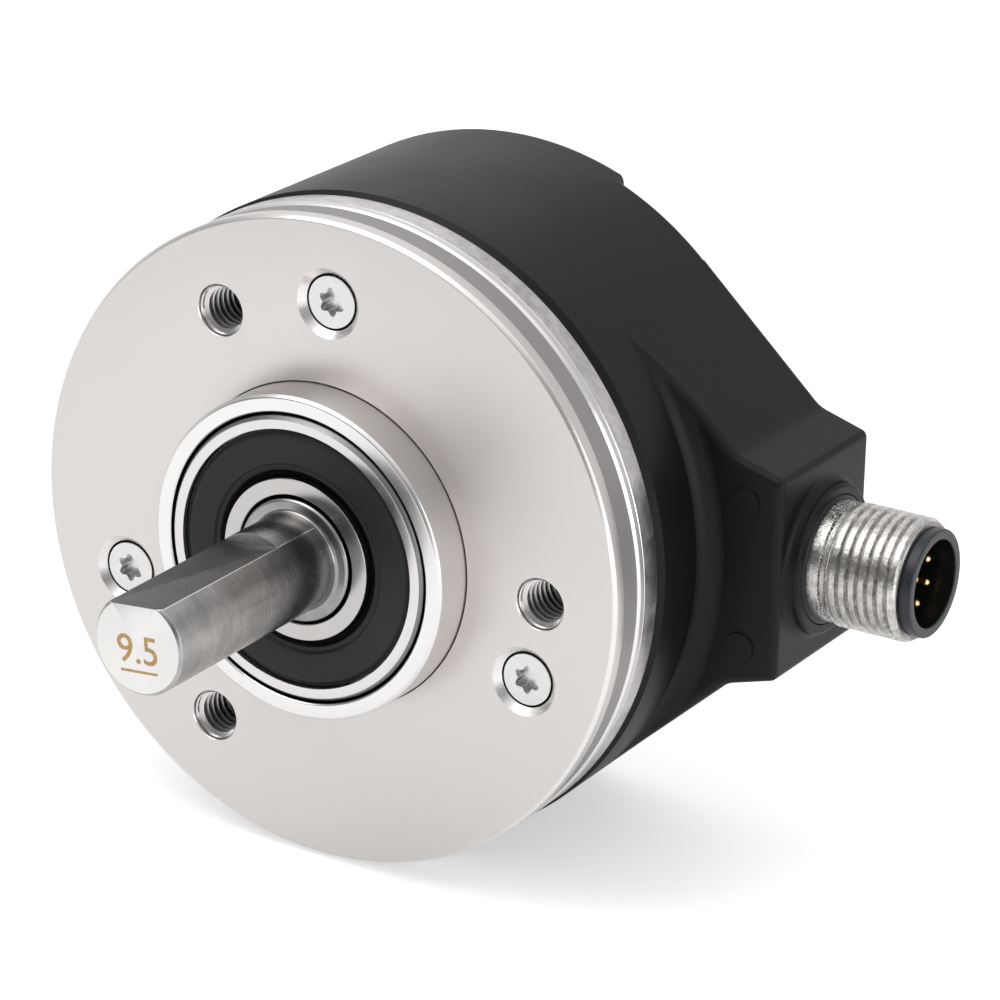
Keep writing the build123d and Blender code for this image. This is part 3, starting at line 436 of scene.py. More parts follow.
def board_material():
    """Green solder mask with copper tracks showing through."""
    material = surface("board_mask", (0.012, 0.11, 0.045), 0.0, 0.35, FINE_GRAIN, 5.0, 0.3)
    tree = material.node_tree
    shader = tree.nodes["Principled BSDF"]
    tracks = tree.nodes.new("ShaderNodeTexBrick")
    tracks.inputs["Scale"].default_value = 0.35
    tracks.inputs["Mortar Size"].default_value = 0.05
    tracks.inputs["Color1"].default_value = (0.012, 0.11, 0.045, 1)
    tracks.inputs["Color2"].default_value = (0.012, 0.125, 0.05, 1)
    tracks.inputs["Mortar"].default_value = (0.03, 0.22, 0.09, 1)
    tree.links.new(point_in_mm(tree), tracks.inputs["Vector"])
    tree.links.new(tracks.outputs["Color"], shader.inputs["Base Color"])
    return material


def glass_material(name, slits):
    """Clear glass; the code disc has a ring of fine dark slits round the shaft."""
    material = bpy.data.materials.new(name)
    material.use_nodes = True
    tree = material.node_tree
    shader = tree.nodes["Principled BSDF"]
    shader.inputs["Transmission Weight"].default_value = 0.0 if slits else 1.0
    shader.inputs["Roughness"].default_value = 0.06
    parts = tree.nodes.new("ShaderNodeSeparateXYZ")
    tree.links.new(point_in_mm(tree), parts.inputs[0])
    angle = math_node(tree, "ARCTAN2", parts.outputs["Z"], parts.outputs["X"])
    wave = math_node(tree, "SINE", math_node(tree, "MULTIPLY", angle, 256.0))
    shade = tree.nodes.new("ShaderNodeMapRange")
    shade.inputs["From Min"].default_value = -0.2
    shade.inputs["From Max"].default_value = 0.2
    shade.inputs["To Min"].default_value = 0.1 if slits else 0.85
    shade.inputs["To Max"].default_value = 0.75 if slits else 0.9
    tree.links.new(wave, shade.inputs["Value"])
    tree.links.new(shade.outputs["Result"], shader.inputs["Base Color"])
    return material


BOARD_MASK = board_material()
DISC_GLASS = glass_material("code_disc_glass", True)
CLEAR_GLASS = glass_material("clear_glass", False)

NODE_MATERIALS = {
    "flange": FLANGE_ALUMINIUM, "disc_hub": FLANGE_ALUMINIUM, "disc_clamp_ring": FLANGE_ALUMINIUM,
    "housing": HOUSING_BLACK, "shaft": SHAFT_STEEL,
    "front_bearing_outer_ring": OUTER_RING_STEEL, "front_bearing_inner_ring": BEARING_STEEL,
    "rear_bearing_outer_ring": BEARING_STEEL, "rear_bearing_inner_ring": BEARING_STEEL,
    "front_bearing_balls": BEARING_STEEL, "rear_bearing_balls": BEARING_STEEL,
    "bearing_spacer": BEARING_STEEL, "wave_spring": SPRING_STEEL, "bore_snap_ring": SPRING_STEEL,
    "shaft_snap_ring": SPRING_STEEL, "cover_screws": SCREW_ZINC, "hub_grub_screws": SPRING_STEEL,
    "disc_clamp_screws": SCREW_ZINC, "board_screws": SCREW_ZINC, "holder_screws": SCREW_ZINC,
    "flange_o_ring": CONNECTOR_RUBBER, "connector_seal": CONNECTOR_RUBBER,
    "front_bearing_front_seal": SEAL_RUBBER, "front_bearing_rear_seal": SEAL_RUBBER,
    "rear_bearing_front_seal": SEAL_RUBBER, "rear_bearing_rear_seal": SEAL_RUBBER,
    "front_bearing_cage": CAGE_PLASTIC, "rear_bearing_cage": CAGE_PLASTIC,
    "code_disc": DISC_GLASS, "reticle_plate": CLEAR_GLASS, "emitter_lens": CLEAR_GLASS,
    "emitter_holder": HOLDER_PLASTIC, "light_emitter": HOLDER_PLASTIC,
    "circuit_board": BOARD_MASK, "connector_board": BOARD_MASK, "board_pillars": PILLAR_BRASS,
    "processor_chip": CHIP_PLASTIC, "line_driver_chip": CHIP_PLASTIC, "light_sensor": CHIP_PLASTIC,
    "board_capacitors": CAPACITOR_CERAMIC, "board_header": HEADER_PLASTIC,
    "ribbon_lead": RIBBON_PLASTIC, "emitter_lead": RIBBON_PLASTIC,
    "connector_shell": NICKEL, "connector_lock_nut": NICKEL, "connector_insert": INSERT_PLASTIC,
    "contact_pins": CONTACT_GOLD,
}


def dress_frame_nodes():
    """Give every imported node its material."""
    for name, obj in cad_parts.items():
        obj.data.materials.clear()
        obj.data.materials.append(NODE_MATERIALS[name])


# Shape helpers: meshes are made in millimetres, placed, and scaled to metres at the end

def turned_bmesh(outline, edge=0.0, steps=192, closed=True):
    """Solid of revolution round local Z from (radius, height) or (radius, height, rounding)."""
    bm = bmesh.new()
    corners = [bm.verts.new((point[0], 0, point[1])) for point in outline]
    pairs = list(zip(corners, corners[1:]))
    if closed:
        pairs.append((corners[-1], corners[0]))
    for first, second in pairs:
        bm.edges.new((first, second))
    rounds = {}
    for corner, point in zip(corners, outline):
        size = point[2] if len(point) > 2 else edge
        if size > 0 and corner.co.x > 1e-6:
            rounds.setdefault(size, []).append(corner)
    for size, group in rounds.items():
        bmesh.ops.bevel(bm, geom=group, offset=size, offset_type="OFFSET", affect="VERTICES",
                        segments=4, profile=0.5, material=-1, clamp_overlap=True)
    bmesh.ops.spin(bm, geom=bm.verts[:] + bm.edges[:], cent=(0, 0, 0), axis=(0, 0, 1), angle=tau,
                   steps=steps, use_merge=True)
    bmesh.ops.remove_doubles(bm, verts=bm.verts[:], dist=1e-5)
    bmesh.ops.recalc_face_normals(bm, faces=bm.faces[:])
    return bm


def temporary(bm, place):
    """Object in millimetres that only serves to cut another."""
    mesh = bpy.data.meshes.new("cutter")
    bm.transform(place)
    bm.to_mesh(mesh)
    bm.free()
    obj = bpy.data.objects.new("cutter", mesh)
    bpy.context.collection.objects.link(obj)
    return obj


def cut(bm, cutters, operation="DIFFERENCE"):
    """Cut closed shapes out of a bmesh, all in millimetres."""
    target = temporary(bm, Matrix.Identity(4))
    for index, cutter in enumerate(cutters):
        modifier = target.modifiers.new(f"cut_{index}", "BOOLEAN")
        modifier.operation = operation
        modifier.solver = "EXACT"
        modifier.object = cutter
    shaped = target.evaluated_get(bpy.context.evaluated_depsgraph_get())
    result = bmesh.new()
    result.from_mesh(shaped.to_mesh())
    for obj in (target, *cutters):
        bpy.data.objects.remove(obj)
    return result


def finished(name, bm, materials, body, replaced=(), sharp=32.0, choose=None):
    """Turn a bmesh in millimetres into a piece in metres that rides on a body."""
    for face in bm.faces:
        face.smooth = True
        if choose:
            face.material_index = choose(face)
    bm.transform(Matrix.Scale(MM, 4))
    mesh = bpy.data.meshes.new(name)
    bm.to_mesh(mesh)
    bm.free()
    mesh.set_sharp_from_angle(angle=radians(sharp))
    for material in materials:
        mesh.materials.append(material)
    piece = bpy.data.objects.new(name, mesh)
    bpy.context.collection.objects.link(piece)
    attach(piece, body)
    if replaced:
        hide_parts(*replaced)
    return piece


def joined(*parts):
    """One bmesh from several."""
    whole = bmesh.new()
    for part in parts:
        mesh = bpy.data.meshes.new("joined")
        part.to_mesh(mesh)
        part.free()
        whole.from_mesh(mesh)
        bpy.data.meshes.remove(mesh)
    return whole


def thread_bmesh(root, crest, other, pitch, start, length, lead_in, steps=72, crest_share=0.12,
                 root_share=0.24):
    """Screw thread round local Z as a closed sleeve whose other wall is a plain cylinder."""
    bm = bmesh.new()
    low = start - pitch
    top, foot = crest_share / 2, root_share / 2
    outline = ((root, 0.0), (root, foot), (crest, 0.5 - top), (crest, 0.5 + top),
               (root, 1.0 - foot), (root, 1.0))
    points = [bm.verts.new((r, 0, low + share * pitch)) for r, share in outline]
    for first, second in zip(points, points[1:]):
        bm.edges.new((first, second))
    turns = int(length / pitch) + 2
    bmesh.ops.spin(bm, geom=bm.verts[:] + bm.edges[:], cent=(0, 0, 0), axis=(0, 0, 1),
                   dvec=(0, 0, pitch / steps), angle=tau * turns, steps=steps * turns)
    bmesh.ops.remove_doubles(bm, verts=bm.verts[:], dist=1e-4)
    for height, side in ((start, -1), (start + length, 1)):
        bmesh.ops.bisect_plane(bm, geom=bm.verts[:] + bm.edges[:] + bm.faces[:], dist=1e-5,
                               plane_co=(0, 0, height), plane_no=(0, 0, side), clear_outer=True)
    toward = 1 if crest > root else -1
    for vert in bm.verts:
        radius = hypot(vert.co.x, vert.co.y)
        depth = min(vert.co.z - start, start + length - vert.co.z)
        limit = root + toward * max(0.0, depth) * abs(crest - root) / lead_in
        if (radius - limit) * toward > 0:
            vert.co.x *= limit / radius
            vert.co.y *= limit / radius
    ends = [edge for edge in bm.edges if len(edge.link_faces) == 1]
    grown = bmesh.ops.extrude_edge_only(bm, edges=ends)["geom"]
    for vert in grown:
        if isinstance(vert, bmesh.types.BMVert):
            radius = hypot(vert.co.x, vert.co.y)
            vert.co.x *= other / radius
            vert.co.y *= other / radius
    rims = [edge for edge in grown if isinstance(edge, bmesh.types.BMEdge)
            and len(edge.link_faces) == 1]
    bmesh.ops.bridge_loops(bm, edges=rims)
    bmesh.ops.recalc_face_normals(bm, faces=bm.faces[:])
    return bm


# Flange

def flange_outline():
    """Corners of the flange's section, with a small rounding at each edge that shows."""
    groove_r = FLANGE_R - CLAMP_GROOVE_DEPTH
    bore_r = BEARING_R + BORE_PLAY
    return (
        (bore_r, BEARING_SLIT_DEPTH - PILOT_LENGTH),
        (BEARING_R + BEARING_SLIT, BEARING_SLIT_DEPTH - PILOT_LENGTH),
        (BEARING_R + BEARING_SLIT, 0.15 - PILOT_LENGTH, 0.03),
        (BEARING_R + BEARING_SLIT + 0.15, -PILOT_LENGTH, 0.03),
        (PILOT_R - PILOT_CHAMFER, -PILOT_LENGTH, 0.08),
        (PILOT_R, -PILOT_LENGTH + PILOT_CHAMFER, 0.08),
        (PILOT_R, PILOT_UNDERCUT),
        (PILOT_R + PILOT_GROOVE, PILOT_UNDERCUT),
        (PILOT_R + PILOT_GROOVE, 0, 0.03),
        (FLANGE_R - FACE_CHAMFER, 0, 0.06),
        (FLANGE_R, FACE_CHAMFER, 0.06),
        (FLANGE_R, CLAMP_GROOVE[0], 0.12),
        (groove_r, CLAMP_GROOVE[0]),
        (groove_r, CLAMP_GROOVE[1] - 0.25),
        (FLANGE_R, CLAMP_GROOVE[1], 0.03),
        (FLANGE_R, SKIRT_START),
        (FLANGE_R - 0.12, SKIRT_START + 0.03),
        (FLANGE_R - 0.03, SKIRT_START + 0.17),
        (FLANGE_R - 0.03, FLANGE_THICKNESS, 0.2),
        (SPIGOT_R, FLANGE_THICKNESS),
        (SPIGOT_R, O_RING_GROOVE[0]),
        (SPIGOT_R - O_RING_GROOVE_DEPTH, O_RING_GROOVE[0]),
        (SPIGOT_R - O_RING_GROOVE_DEPTH, O_RING_GROOVE[1]),
        (SPIGOT_R, O_RING_GROOVE[1]),
        (SPIGOT_R, SPIGOT_REAR, 0.2),
        (HUB_R, SPIGOT_REAR),
        (HUB_R, HUB_REAR, 0.2),
        (bore_r, HUB_REAR),
        (bore_r, SNAP_GROOVE[1]),
        (BEARING_R + BORE_GROOVE_DEPTH, SNAP_GROOVE[1]),
        (BEARING_R + BORE_GROOVE_DEPTH, SNAP_GROOVE[0]),
        (bore_r, SNAP_GROOVE[0]),
        (bore_r, SHOULDER[1]),
        (SHOULDER_R, SHOULDER[1]),
        (SHOULDER_R, SHOULDER[0]),
        (bore_r, SHOULDER[0]),
    )


def flange_face_choice(face):
    """Bright pilot face and edges (smoother turning plus painted highlight), plain faces, dull clamp
    groove, mottled skirt, painted shade in slits, the rear gap and deep holes.
    """
    middle = face.calc_center_median()
    radius = from_shaft(middle)
    slope = abs(face.normal.y)
    # Slits, the pilot undercut and the rear face's gap get painted shade.
    if radius < BEARING_R + BEARING_SLIT + 0.01 and middle.y < BEARING_SLIT_DEPTH - PILOT_LENGTH + 0.01:
        return 3
    if radius < PILOT_R + PILOT_GROOVE + 0.005 and 0.02 < middle.y < PILOT_UNDERCUT + 0.01:
        return 3
    if middle.y > FLANGE_THICKNESS - 0.02 and SPIGOT_R - 0.01 < radius < FLANGE_R - 0.3:
        return 3
    # The pilot's front face gets bright turning with a painted highlight.
    if BEARING_R + 0.02 < radius < PILOT_R + 0.05 and middle.y < -PILOT_LENGTH + PILOT_CHAMFER:
        return 1
    hole_distance = from_nearest(middle, TAPPED_ANGLES + SCREW_ANGLES)
    # Deeper hole walls get painted shade.
    if hole_distance < COUNTERSINK_R + 0.02 and middle.y > 0.005:
        return 2 if middle.y < SCREW_HEAD_SINK + 0.06 else 3
    if radius > FLANGE_R - CLAMP_GROOVE_DEPTH - 0.02 and middle.y < FLANGE_THICKNESS + 0.01:
        # Rounded and stepped rim edges get bright turning with a painted highlight.
        if 0.05 < slope < 0.98 or (slope > 0.98 and middle.y > 0.1):
            return 1
        if middle.y > SKIRT_START:
            return 5
        if radius < FLANGE_R - CLAMP_GROOVE_DEPTH + 0.02:
            return 4
    return 0


def make_flange():
    """Turned flange with its countersunk and tapped holes."""
    body = turned_bmesh(flange_outline(), steps=288)
    body.transform(ON_SHAFT)
    cutters = []
    for angle in SCREW_ANGLES:
        depth = COUNTERSINK_R - SCREW_R - 0.2
        hole = turned_bmesh(((0, -1), (COUNTERSINK_R + 0.04, -1), (COUNTERSINK_R + 0.04, 0),
                             (COUNTERSINK_R, 0.04), (COUNTERSINK_R - SCREW_HEAD_SINK - 0.01,
                                                     SCREW_HEAD_SINK + 0.05),
                             (SCREW_R + 0.2, depth), (SCREW_R + 0.2, 20),
                             (0, 20)), steps=72, closed=False)
        cutters.append(temporary(hole, beside_shaft(BOLT_CIRCLE_R, angle)))
    for angle in TAPPED_ANGLES:
        rim = TAPPED_R + 0.1
        hole = turned_bmesh(((0, -1), (rim + 0.04, -1), (rim + 0.04, 0), (rim, 0.05),
                             (TAPPED_R, 0.35), (TAPPED_R, TAPPED_DEPTH), (0, TAPPED_DEPTH + 1.2)),
                            steps=72, closed=False)
        cutters.append(temporary(hole, beside_shaft(BOLT_CIRCLE_R, angle)))
    finished("flange_body", cut(body, cutters),
             (FLANGE_ALUMINIUM, BRIGHT_TURNED_WITH_HIGHLIGHT, HOLE_ALUMINIUM, PAINTED_GROOVE_SHADE, GROOVE_ALUMINIUM,
              SKIRT_ALUMINIUM), "stator", ("flange",),
             choose=flange_face_choice)
    sleeves = []
    for angle in TAPPED_ANGLES:
        sleeve = thread_bmesh(TAPPED_R - 0.01, TAPPED_R - 0.44, TAPPED_R - 0.005, TAPPED_PITCH,
                              0.3, TAPPED_DEPTH - 0.4, 0.5, steps=60, crest_share=0.16,
                              root_share=0.4)
        sleeve.transform(beside_shaft(BOLT_CIRCLE_R, angle))
        sleeves.append(sleeve)

    def choose(face):
        middle = face.calc_center_median()
        if middle.y < 0.75:
            return 2
        # Thread roots get painted shade.
        return 1 if from_nearest(middle, TAPPED_ANGLES) > TAPPED_R - 0.16 else 0

    finished("tapped_threads", joined(*sleeves), (THREAD_ALUMINIUM, PAINTED_GROOVE_SHADE, HOLE_ALUMINIUM),
             "stator", (), choose=choose)


# Countersunk screws with a six-lobed recess

def recess_bmesh(turn):
    """Six-lobed cutter for a screw's recess."""
    bm = bmesh.new()
    ring = bmesh.ops.create_circle(bm, cap_ends=True, radius=1.0, segments=96)["verts"]
    for vert in ring:
        angle = atan2(vert.co.y, vert.co.x)
        radius = RECESS_R + RECESS_LOBE * cos(6 * (angle - turn))
        vert.co.x = radius * cos(angle)
        vert.co.y = radius * sin(angle)
    floor = bmesh.ops.extrude_face_region(bm, geom=bm.faces[:])["geom"]
    moved = [item for item in floor if isinstance(item, bmesh.types.BMVert)]
    bmesh.ops.translate(bm, verts=moved, vec=(0, 0, 1.0 + RECESS_DEPTH))
    bmesh.ops.recalc_face_normals(bm, faces=bm.faces[:])
    bmesh.ops.translate(bm, verts=bm.verts[:], vec=(0, 0, SCREW_HEAD_SINK - 1.0))
    return bm


def make_screws():
    """Three countersunk screws."""
    screws = []
    shank = SCREW_R - 0.03
    tip = SCREW_HEAD_SINK + SCREW_LENGTH
    for index, angle in enumerate(SCREW_ANGLES):
        head = turned_bmesh((
            (0, SCREW_HEAD_SINK), (SCREW_HEAD_R - 0.05, SCREW_HEAD_SINK, 0.03),
            (SCREW_HEAD_R, SCREW_HEAD_SINK + 0.1, 0.03), (SCREW_HEAD_R, SCREW_HEAD_SINK + 0.2),
            (shank, SCREW_HEAD_SINK + 1.25), (shank, tip - 0.4), (shank - 0.4, tip), (0, tip)),
            steps=96, closed=False)
        screw = cut(head, [temporary(recess_bmesh(0.4 + 1.1 * index), Matrix.Identity(4))])
        screw.transform(beside_shaft(BOLT_CIRCLE_R, angle))
        screws.append(screw)

    def choose(face):
        middle = face.calc_center_median()
        radius = from_nearest(middle, SCREW_ANGLES)
        depth = middle.y - SCREW_HEAD_SINK
        # Recess walls and floor get darker zinc, painted shade.
        if radius < 1.42 and 0.02 < depth < RECESS_DEPTH - 0.02:
            return 1
        # The head's underside by the countersink gets painted shade.
        return 2 if radius > SCREW_HEAD_R - 0.3 and depth > 0.08 else 0

    finished("countersunk_screws", joined(*screws), (SCREW_ZINC, RECESS_ZINC_SHADE, PAINTED_GROOVE_SHADE),
             "stator", ("cover_screws",), choose=choose)


# Front bearing

def make_bearing():
    """Front bearing's rings and its visible seal, with the fine edges that catch the light."""
    front = BEARING_FRONT
    rear = front + BEARING_WIDTH
    outer = turned_bmesh((
        (SEAL_SEAT_R, front, 0.05), (BEARING_R - 0.42, front, 0.06),
        (BEARING_R - 0.08, front + 0.34, 0.1), (BEARING_R, front + 0.6, 0.1),
        (BEARING_R, rear - 0.3, 0.1), (BEARING_R - 0.3, rear, 0.1), (SEAL_SEAT_R, rear, 0.05),
        (SEAL_SEAT_R, rear - 1.15), (12.0, rear - 1.15), (12.0, front + 5.3), (12.35, front + 4.0),
        (12.0, front + 2.7), (12.0, front + 1.15), (SEAL_SEAT_R, front + 1.15)), steps=256)
    outer.transform(ON_SHAFT)

    def at_chamfer(face):
        middle = face.calc_center_median()
        radius = from_shaft(middle)
        # The front chamfer gets painted shade.
        return 1 if radius > BEARING_R - 0.38 and middle.y < front + 0.7 else 0

    finished("bearing_outer_ring", outer, (OUTER_RING_STEEL, PAINTED_SHADE_CHAMFER_STEEL), "stator",
             ("front_bearing_outer_ring",), choose=at_chamfer)
    inner = turned_bmesh((
        (BEARING_BORE_R, front + 1.5), (BEARING_BORE_R + 0.3, front + 1.5),
        (BEARING_BORE_R + 0.3, front + 0.1, 0.03), (BEARING_BORE_R + 0.38, front, 0.04),
        (INNER_LAND_R, front, 0.08), (INNER_LAND_R, front + 2.7), (7.65, front + 4.0),
        (INNER_LAND_R, front + 5.3), (INNER_LAND_R, rear, 0.08), (BEARING_BORE_R + 0.3, rear, 0.1),
        (BEARING_BORE_R, rear - 0.3, 0.1)), steps=224)
    inner.transform(ON_SHAFT)

    def in_slit(face):
        middle = face.calc_center_median()
        radius = from_shaft(middle)
        # The slit at the bore gets painted shade.
        return 1 if radius < BEARING_BORE_R + 0.31 and middle.y < front + 1.51 else 0

    finished("bearing_inner_ring", inner, (BEARING_STEEL, PAINTED_GROOVE_SHADE), "rotor",
             ("front_bearing_inner_ring",), choose=in_slit)
    lip = INNER_LAND_R + 0.1
    rim = SEAL_SEAT_R - 0.05
    seal = turned_bmesh((
        (rim, front + 1.15), (rim, front + 0.6, 0.08), (rim - 0.3, front + 0.55, 0.1),
        (rim - 0.55, front + 0.25, 0.12), (rim - 0.9, front + 0.2, 0.1),
        (lip + 1.3, front + 0.24, 0.1), (lip + 1.1, front + 0.5, 0.1), (lip + 0.8, front + 0.5, 0.1),
        (lip + 0.65, front + 0.34, 0.1), (lip + 0.58, front + 0.95), (lip, front + 0.95),
        (lip, front + 1.15)), steps=224)
    seal.transform(ON_SHAFT)

    def at_lip(face):
        # Faces near the lip get painted shade.
        return 1 if from_shaft(face.calc_center_median()) < lip + 0.6 else 0

    finished("bearing_seal", seal, (SEAL_RUBBER, PAINTED_GROOVE_SHADE), "stator",
             ("front_bearing_front_seal",), choose=at_lip)


# Shaft

def make_shaft():
    """Shaft with its milled flat, square shoulder and turned collar."""
    body = turned_bmesh((
        (0, SHAFT_END), (SHAFT_R - 0.3, SHAFT_END, 0.05), (SHAFT_R, SHAFT_END + 0.3, 0.05),
        (SHAFT_R, JOURNAL_FRONT, 0.35), (JOURNAL_R - 0.2, JOURNAL_FRONT, 0.06),
        (JOURNAL_R, JOURNAL_FRONT + 0.2, 0.06), (JOURNAL_R, SNAP_GROOVE[0]),
        (JOURNAL_R - SHAFT_GROOVE_DEPTH, SNAP_GROOVE[0]),
        (JOURNAL_R - SHAFT_GROOVE_DEPTH, SNAP_GROOVE[1]), (JOURNAL_R, SNAP_GROOVE[1]),
        (JOURNAL_R, JOURNAL_REAR), (TAIL_R, JOURNAL_REAR),
        (TAIL_R, SHAFT_TAIL - 0.3), (TAIL_R - 0.3, SHAFT_TAIL), (0, SHAFT_TAIL)),
        steps=224, closed=False)
    body.transform(ON_SHAFT)
    flat = bmesh.new()
    bmesh.ops.create_cube(flat, size=1.0)
    length = FLAT_END - SHAFT_END + 5
    height = 4.0
    bmesh.ops.scale(flat, vec=(14, length, height), verts=flat.verts[:])
    bmesh.ops.translate(flat, vec=(0, FLAT_END - length / 2, SHAFT_R - FLAT_DEPTH + height / 2),
                        verts=flat.verts[:])
    turn = Matrix.Rotation(radians(-FLAT_TURN), 4, "Y")
    shaped = cut(body, [temporary(flat, turn)])
    flat_normal = Vector((-sin(radians(FLAT_TURN)), 0, cos(radians(FLAT_TURN))))

    def milled(face):
        if face.calc_center_median().y > FLAT_END + 0.01:
            return False
        shoulder = face.normal.y < -0.99 and face.calc_center_median().y > FLAT_END - 0.01
        return shoulder or face.normal.dot(flat_normal) > 0.9995

    bmesh.ops.remove_doubles(shaped, verts=shaped.verts[:], dist=1e-4)
    rims = [edge for edge in shaped.edges
            if len(edge.link_faces) == 2 and edge.calc_face_angle(0) > radians(20)
            and any(milled(face) for face in edge.link_faces)]
    bmesh.ops.bevel(shaped, geom=rims, offset=0.06, affect="EDGES", segments=2, profile=0.5,
                    material=-1, clamp_overlap=True)

    def choose(face):
        middle = face.calc_center_median()
        if face.normal.y < -0.9 and middle.y < SHAFT_END + 0.1:
            return 2
        if middle.y > FLAT_END + 0.1:
            return 0
        side = face.normal.dot(flat_normal)
        height = middle.dot(flat_normal)
        # The flat gets a painted dark reflection.
        if side > 0.9995:
            return 1
        # Rims of the flat get a painted highlight on a smoother finish.
        return 3 if side > 0.5 and height > SHAFT_R - FLAT_DEPTH - 0.07 else 0

    finished("shaft_body", shaped, (SHAFT_STEEL, FLAT_STEEL_DARK_REFLECTION, END_STEEL, BRIGHT_TURNED_WITH_HIGHLIGHT), "rotor",
             ("shaft",), choose=choose)


def make_end_mark():
    """Plain size number on the shaft's end, over a line, burnt in as a thin brown film."""
    curve = bpy.data.curves.new("end_mark", "FONT")
    curve.body = "9.5"
    curve.size = MARK_SIZE
    curve.align_x = "CENTER"
    curve.align_y = "CENTER"
    curve.extrude = 0.012
    curve.offset = 0.015
    obj = bpy.data.objects.new("end_mark_text", curve)
    bpy.context.collection.objects.link(obj)
    shape = obj.evaluated_get(bpy.context.evaluated_depsgraph_get())
    mark = bmesh.new()
    mark.from_mesh(shape.to_mesh())
    bpy.data.objects.remove(obj)
    bar = bmesh.new()
    bmesh.ops.create_cube(bar, size=1.0)
    bmesh.ops.scale(bar, vec=MARK_LINE, verts=bar.verts[:])
    bmesh.ops.translate(bar, vec=(0, -1.95, 0), verts=bar.verts[:])
    mark = joined(mark, bar)
    upright = Matrix(((1, 0, 0, 0), (0, 0, -1, SHAFT_END - 0.001), (0, 1, 0, -0.5), (0, 0, 0, 1)))
    mark.transform(Matrix.Rotation(radians(-MARK_TURN), 4, "Y") @ upright)
    finished("end_mark", mark, (MARK_BROWN,), "rotor", ())


# Connector

def make_connector():
    """Threaded shell, moulded insert with its key, contact pins and seal."""
    shell = turned_bmesh((
        (SHELL_BORE_R, SHELL_REAR_X), (SHANK_R, SHELL_REAR_X), (SHANK_R, SEAT_X),
        (ROOT_COLLAR_R, SEAT_X), (ROOT_COLLAR_R, NECK_X - 0.1, 0.05), (NECK_R, NECK_X),
        (NECK_R, THREAD_X, 0.05), (THREAD_ROOT_R + 0.02, THREAD_X + 0.1),
        (THREAD_ROOT_R + 0.02, THREAD_END_X - 0.05, 0.03), (SHELL_BORE_R, THREAD_END_X)), steps=160)
    ridge = thread_bmesh(THREAD_ROOT_R, THREAD_R, THREAD_ROOT_R - 0.2, THREAD_PITCH,
                         THREAD_X, THREAD_END_X - THREAD_X, 0.4, steps=96, crest_share=0.5,
                         root_share=0.14)
    whole = joined(shell, ridge)
    whole.transform(ON_CONNECTOR)

    def choose(face):
        middle = face.calc_center_median()
        if SEAT_X < middle.x < NECK_X and abs(face.normal.x) < 0.5:
            return 1
        radius = from_connector(middle)
        # Thread valleys get painted shade.
        return 2 if middle.x > THREAD_X and SHELL_BORE_R + 0.3 < radius < THREAD_ROOT_R + 0.06 else 0

    finished("threaded_shell", whole, (NICKEL, ROUGH_NICKEL, NICKEL_VALLEY_SHADE), "stator",
             ("connector_shell",), choose=choose)
    insert = turned_bmesh((
        (0, SHELL_REAR_X), (SHELL_BORE_R - 0.02, SHELL_REAR_X),
        (SHELL_BORE_R - 0.02, THREAD_END_X), (NOSE_R, THREAD_END_X, 0.05), (NOSE_R, NOSE_X, 0.18),
        (SOCKET_R, NOSE_X, 0.12), (SOCKET_R, SOCKET_FLOOR_X, 0.1), (0, SOCKET_FLOOR_X)),
        steps=128, closed=False)
    key = bmesh.new()
    bmesh.ops.create_cube(key, size=1.0)
    key_length = NOSE_X - 0.5 - SOCKET_FLOOR_X
    bmesh.ops.scale(key, vec=(KEY_HEIGHT * 2, KEY_WIDTH, key_length), verts=key.verts[:])
    bmesh.ops.bevel(key, geom=key.edges[:], offset=0.1, affect="EDGES", segments=2, profile=0.5,
                    material=-1)
    bmesh.ops.translate(key, vec=(SOCKET_R, 0, SOCKET_FLOOR_X + key_length / 2), verts=key.verts[:])
    key.transform(Matrix.Rotation(radians(KEY_ANGLE), 4, "Z"))
    whole = joined(insert, key)
    whole.transform(ON_CONNECTOR)

    def in_socket(face):
        middle = face.calc_center_median()
        radius = from_connector(middle)
        # The socket's inside gets painted shade.
        return 1 if radius < SOCKET_R + 0.01 and middle.x < NOSE_X - 0.15 else 0

    finished("moulded_insert", whole, (INSERT_PLASTIC, SOCKET_PAINTED_SHADE), "stator",
             ("connector_insert",), choose=in_socket)
    pins = []
    places = [(0, 0)] + [on_circle(PIN_CIRCLE_R, PIN_FIRST_ANGLE + 360 / PIN_COUNT * k)
                         for k in range(PIN_COUNT)]
    for y, z in places:
        pin = turned_bmesh(((0, PIN_REAR_X), (PIN_R, PIN_REAR_X), (PIN_R, PIN_TIP_X - 0.25, 0.1),
                            (0.16, PIN_TIP_X, 0.1), (0, PIN_TIP_X)), steps=32, closed=False)
        pin.transform(ON_CONNECTOR @ Matrix.Translation((y, z, 0)))
        pins.append(pin)
    finished("gold_pins", joined(*pins), (CONTACT_GOLD,), "stator", ("contact_pins",))
    seal = turned_bmesh(((SEAL_INNER_R, SEAT_X), (SEAL_OUTER_R, SEAT_X),
                         (SEAL_OUTER_R, SEAT_X + SEAL_HEIGHT, 0.4),
                         (SEAL_INNER_R, SEAT_X + SEAL_HEIGHT, 0.4)), steps=128)
    seal.transform(ON_CONNECTOR)
    finished("collar_seal", seal, (CONNECTOR_RUBBER,), "stator", ("connector_seal",))


# Studio

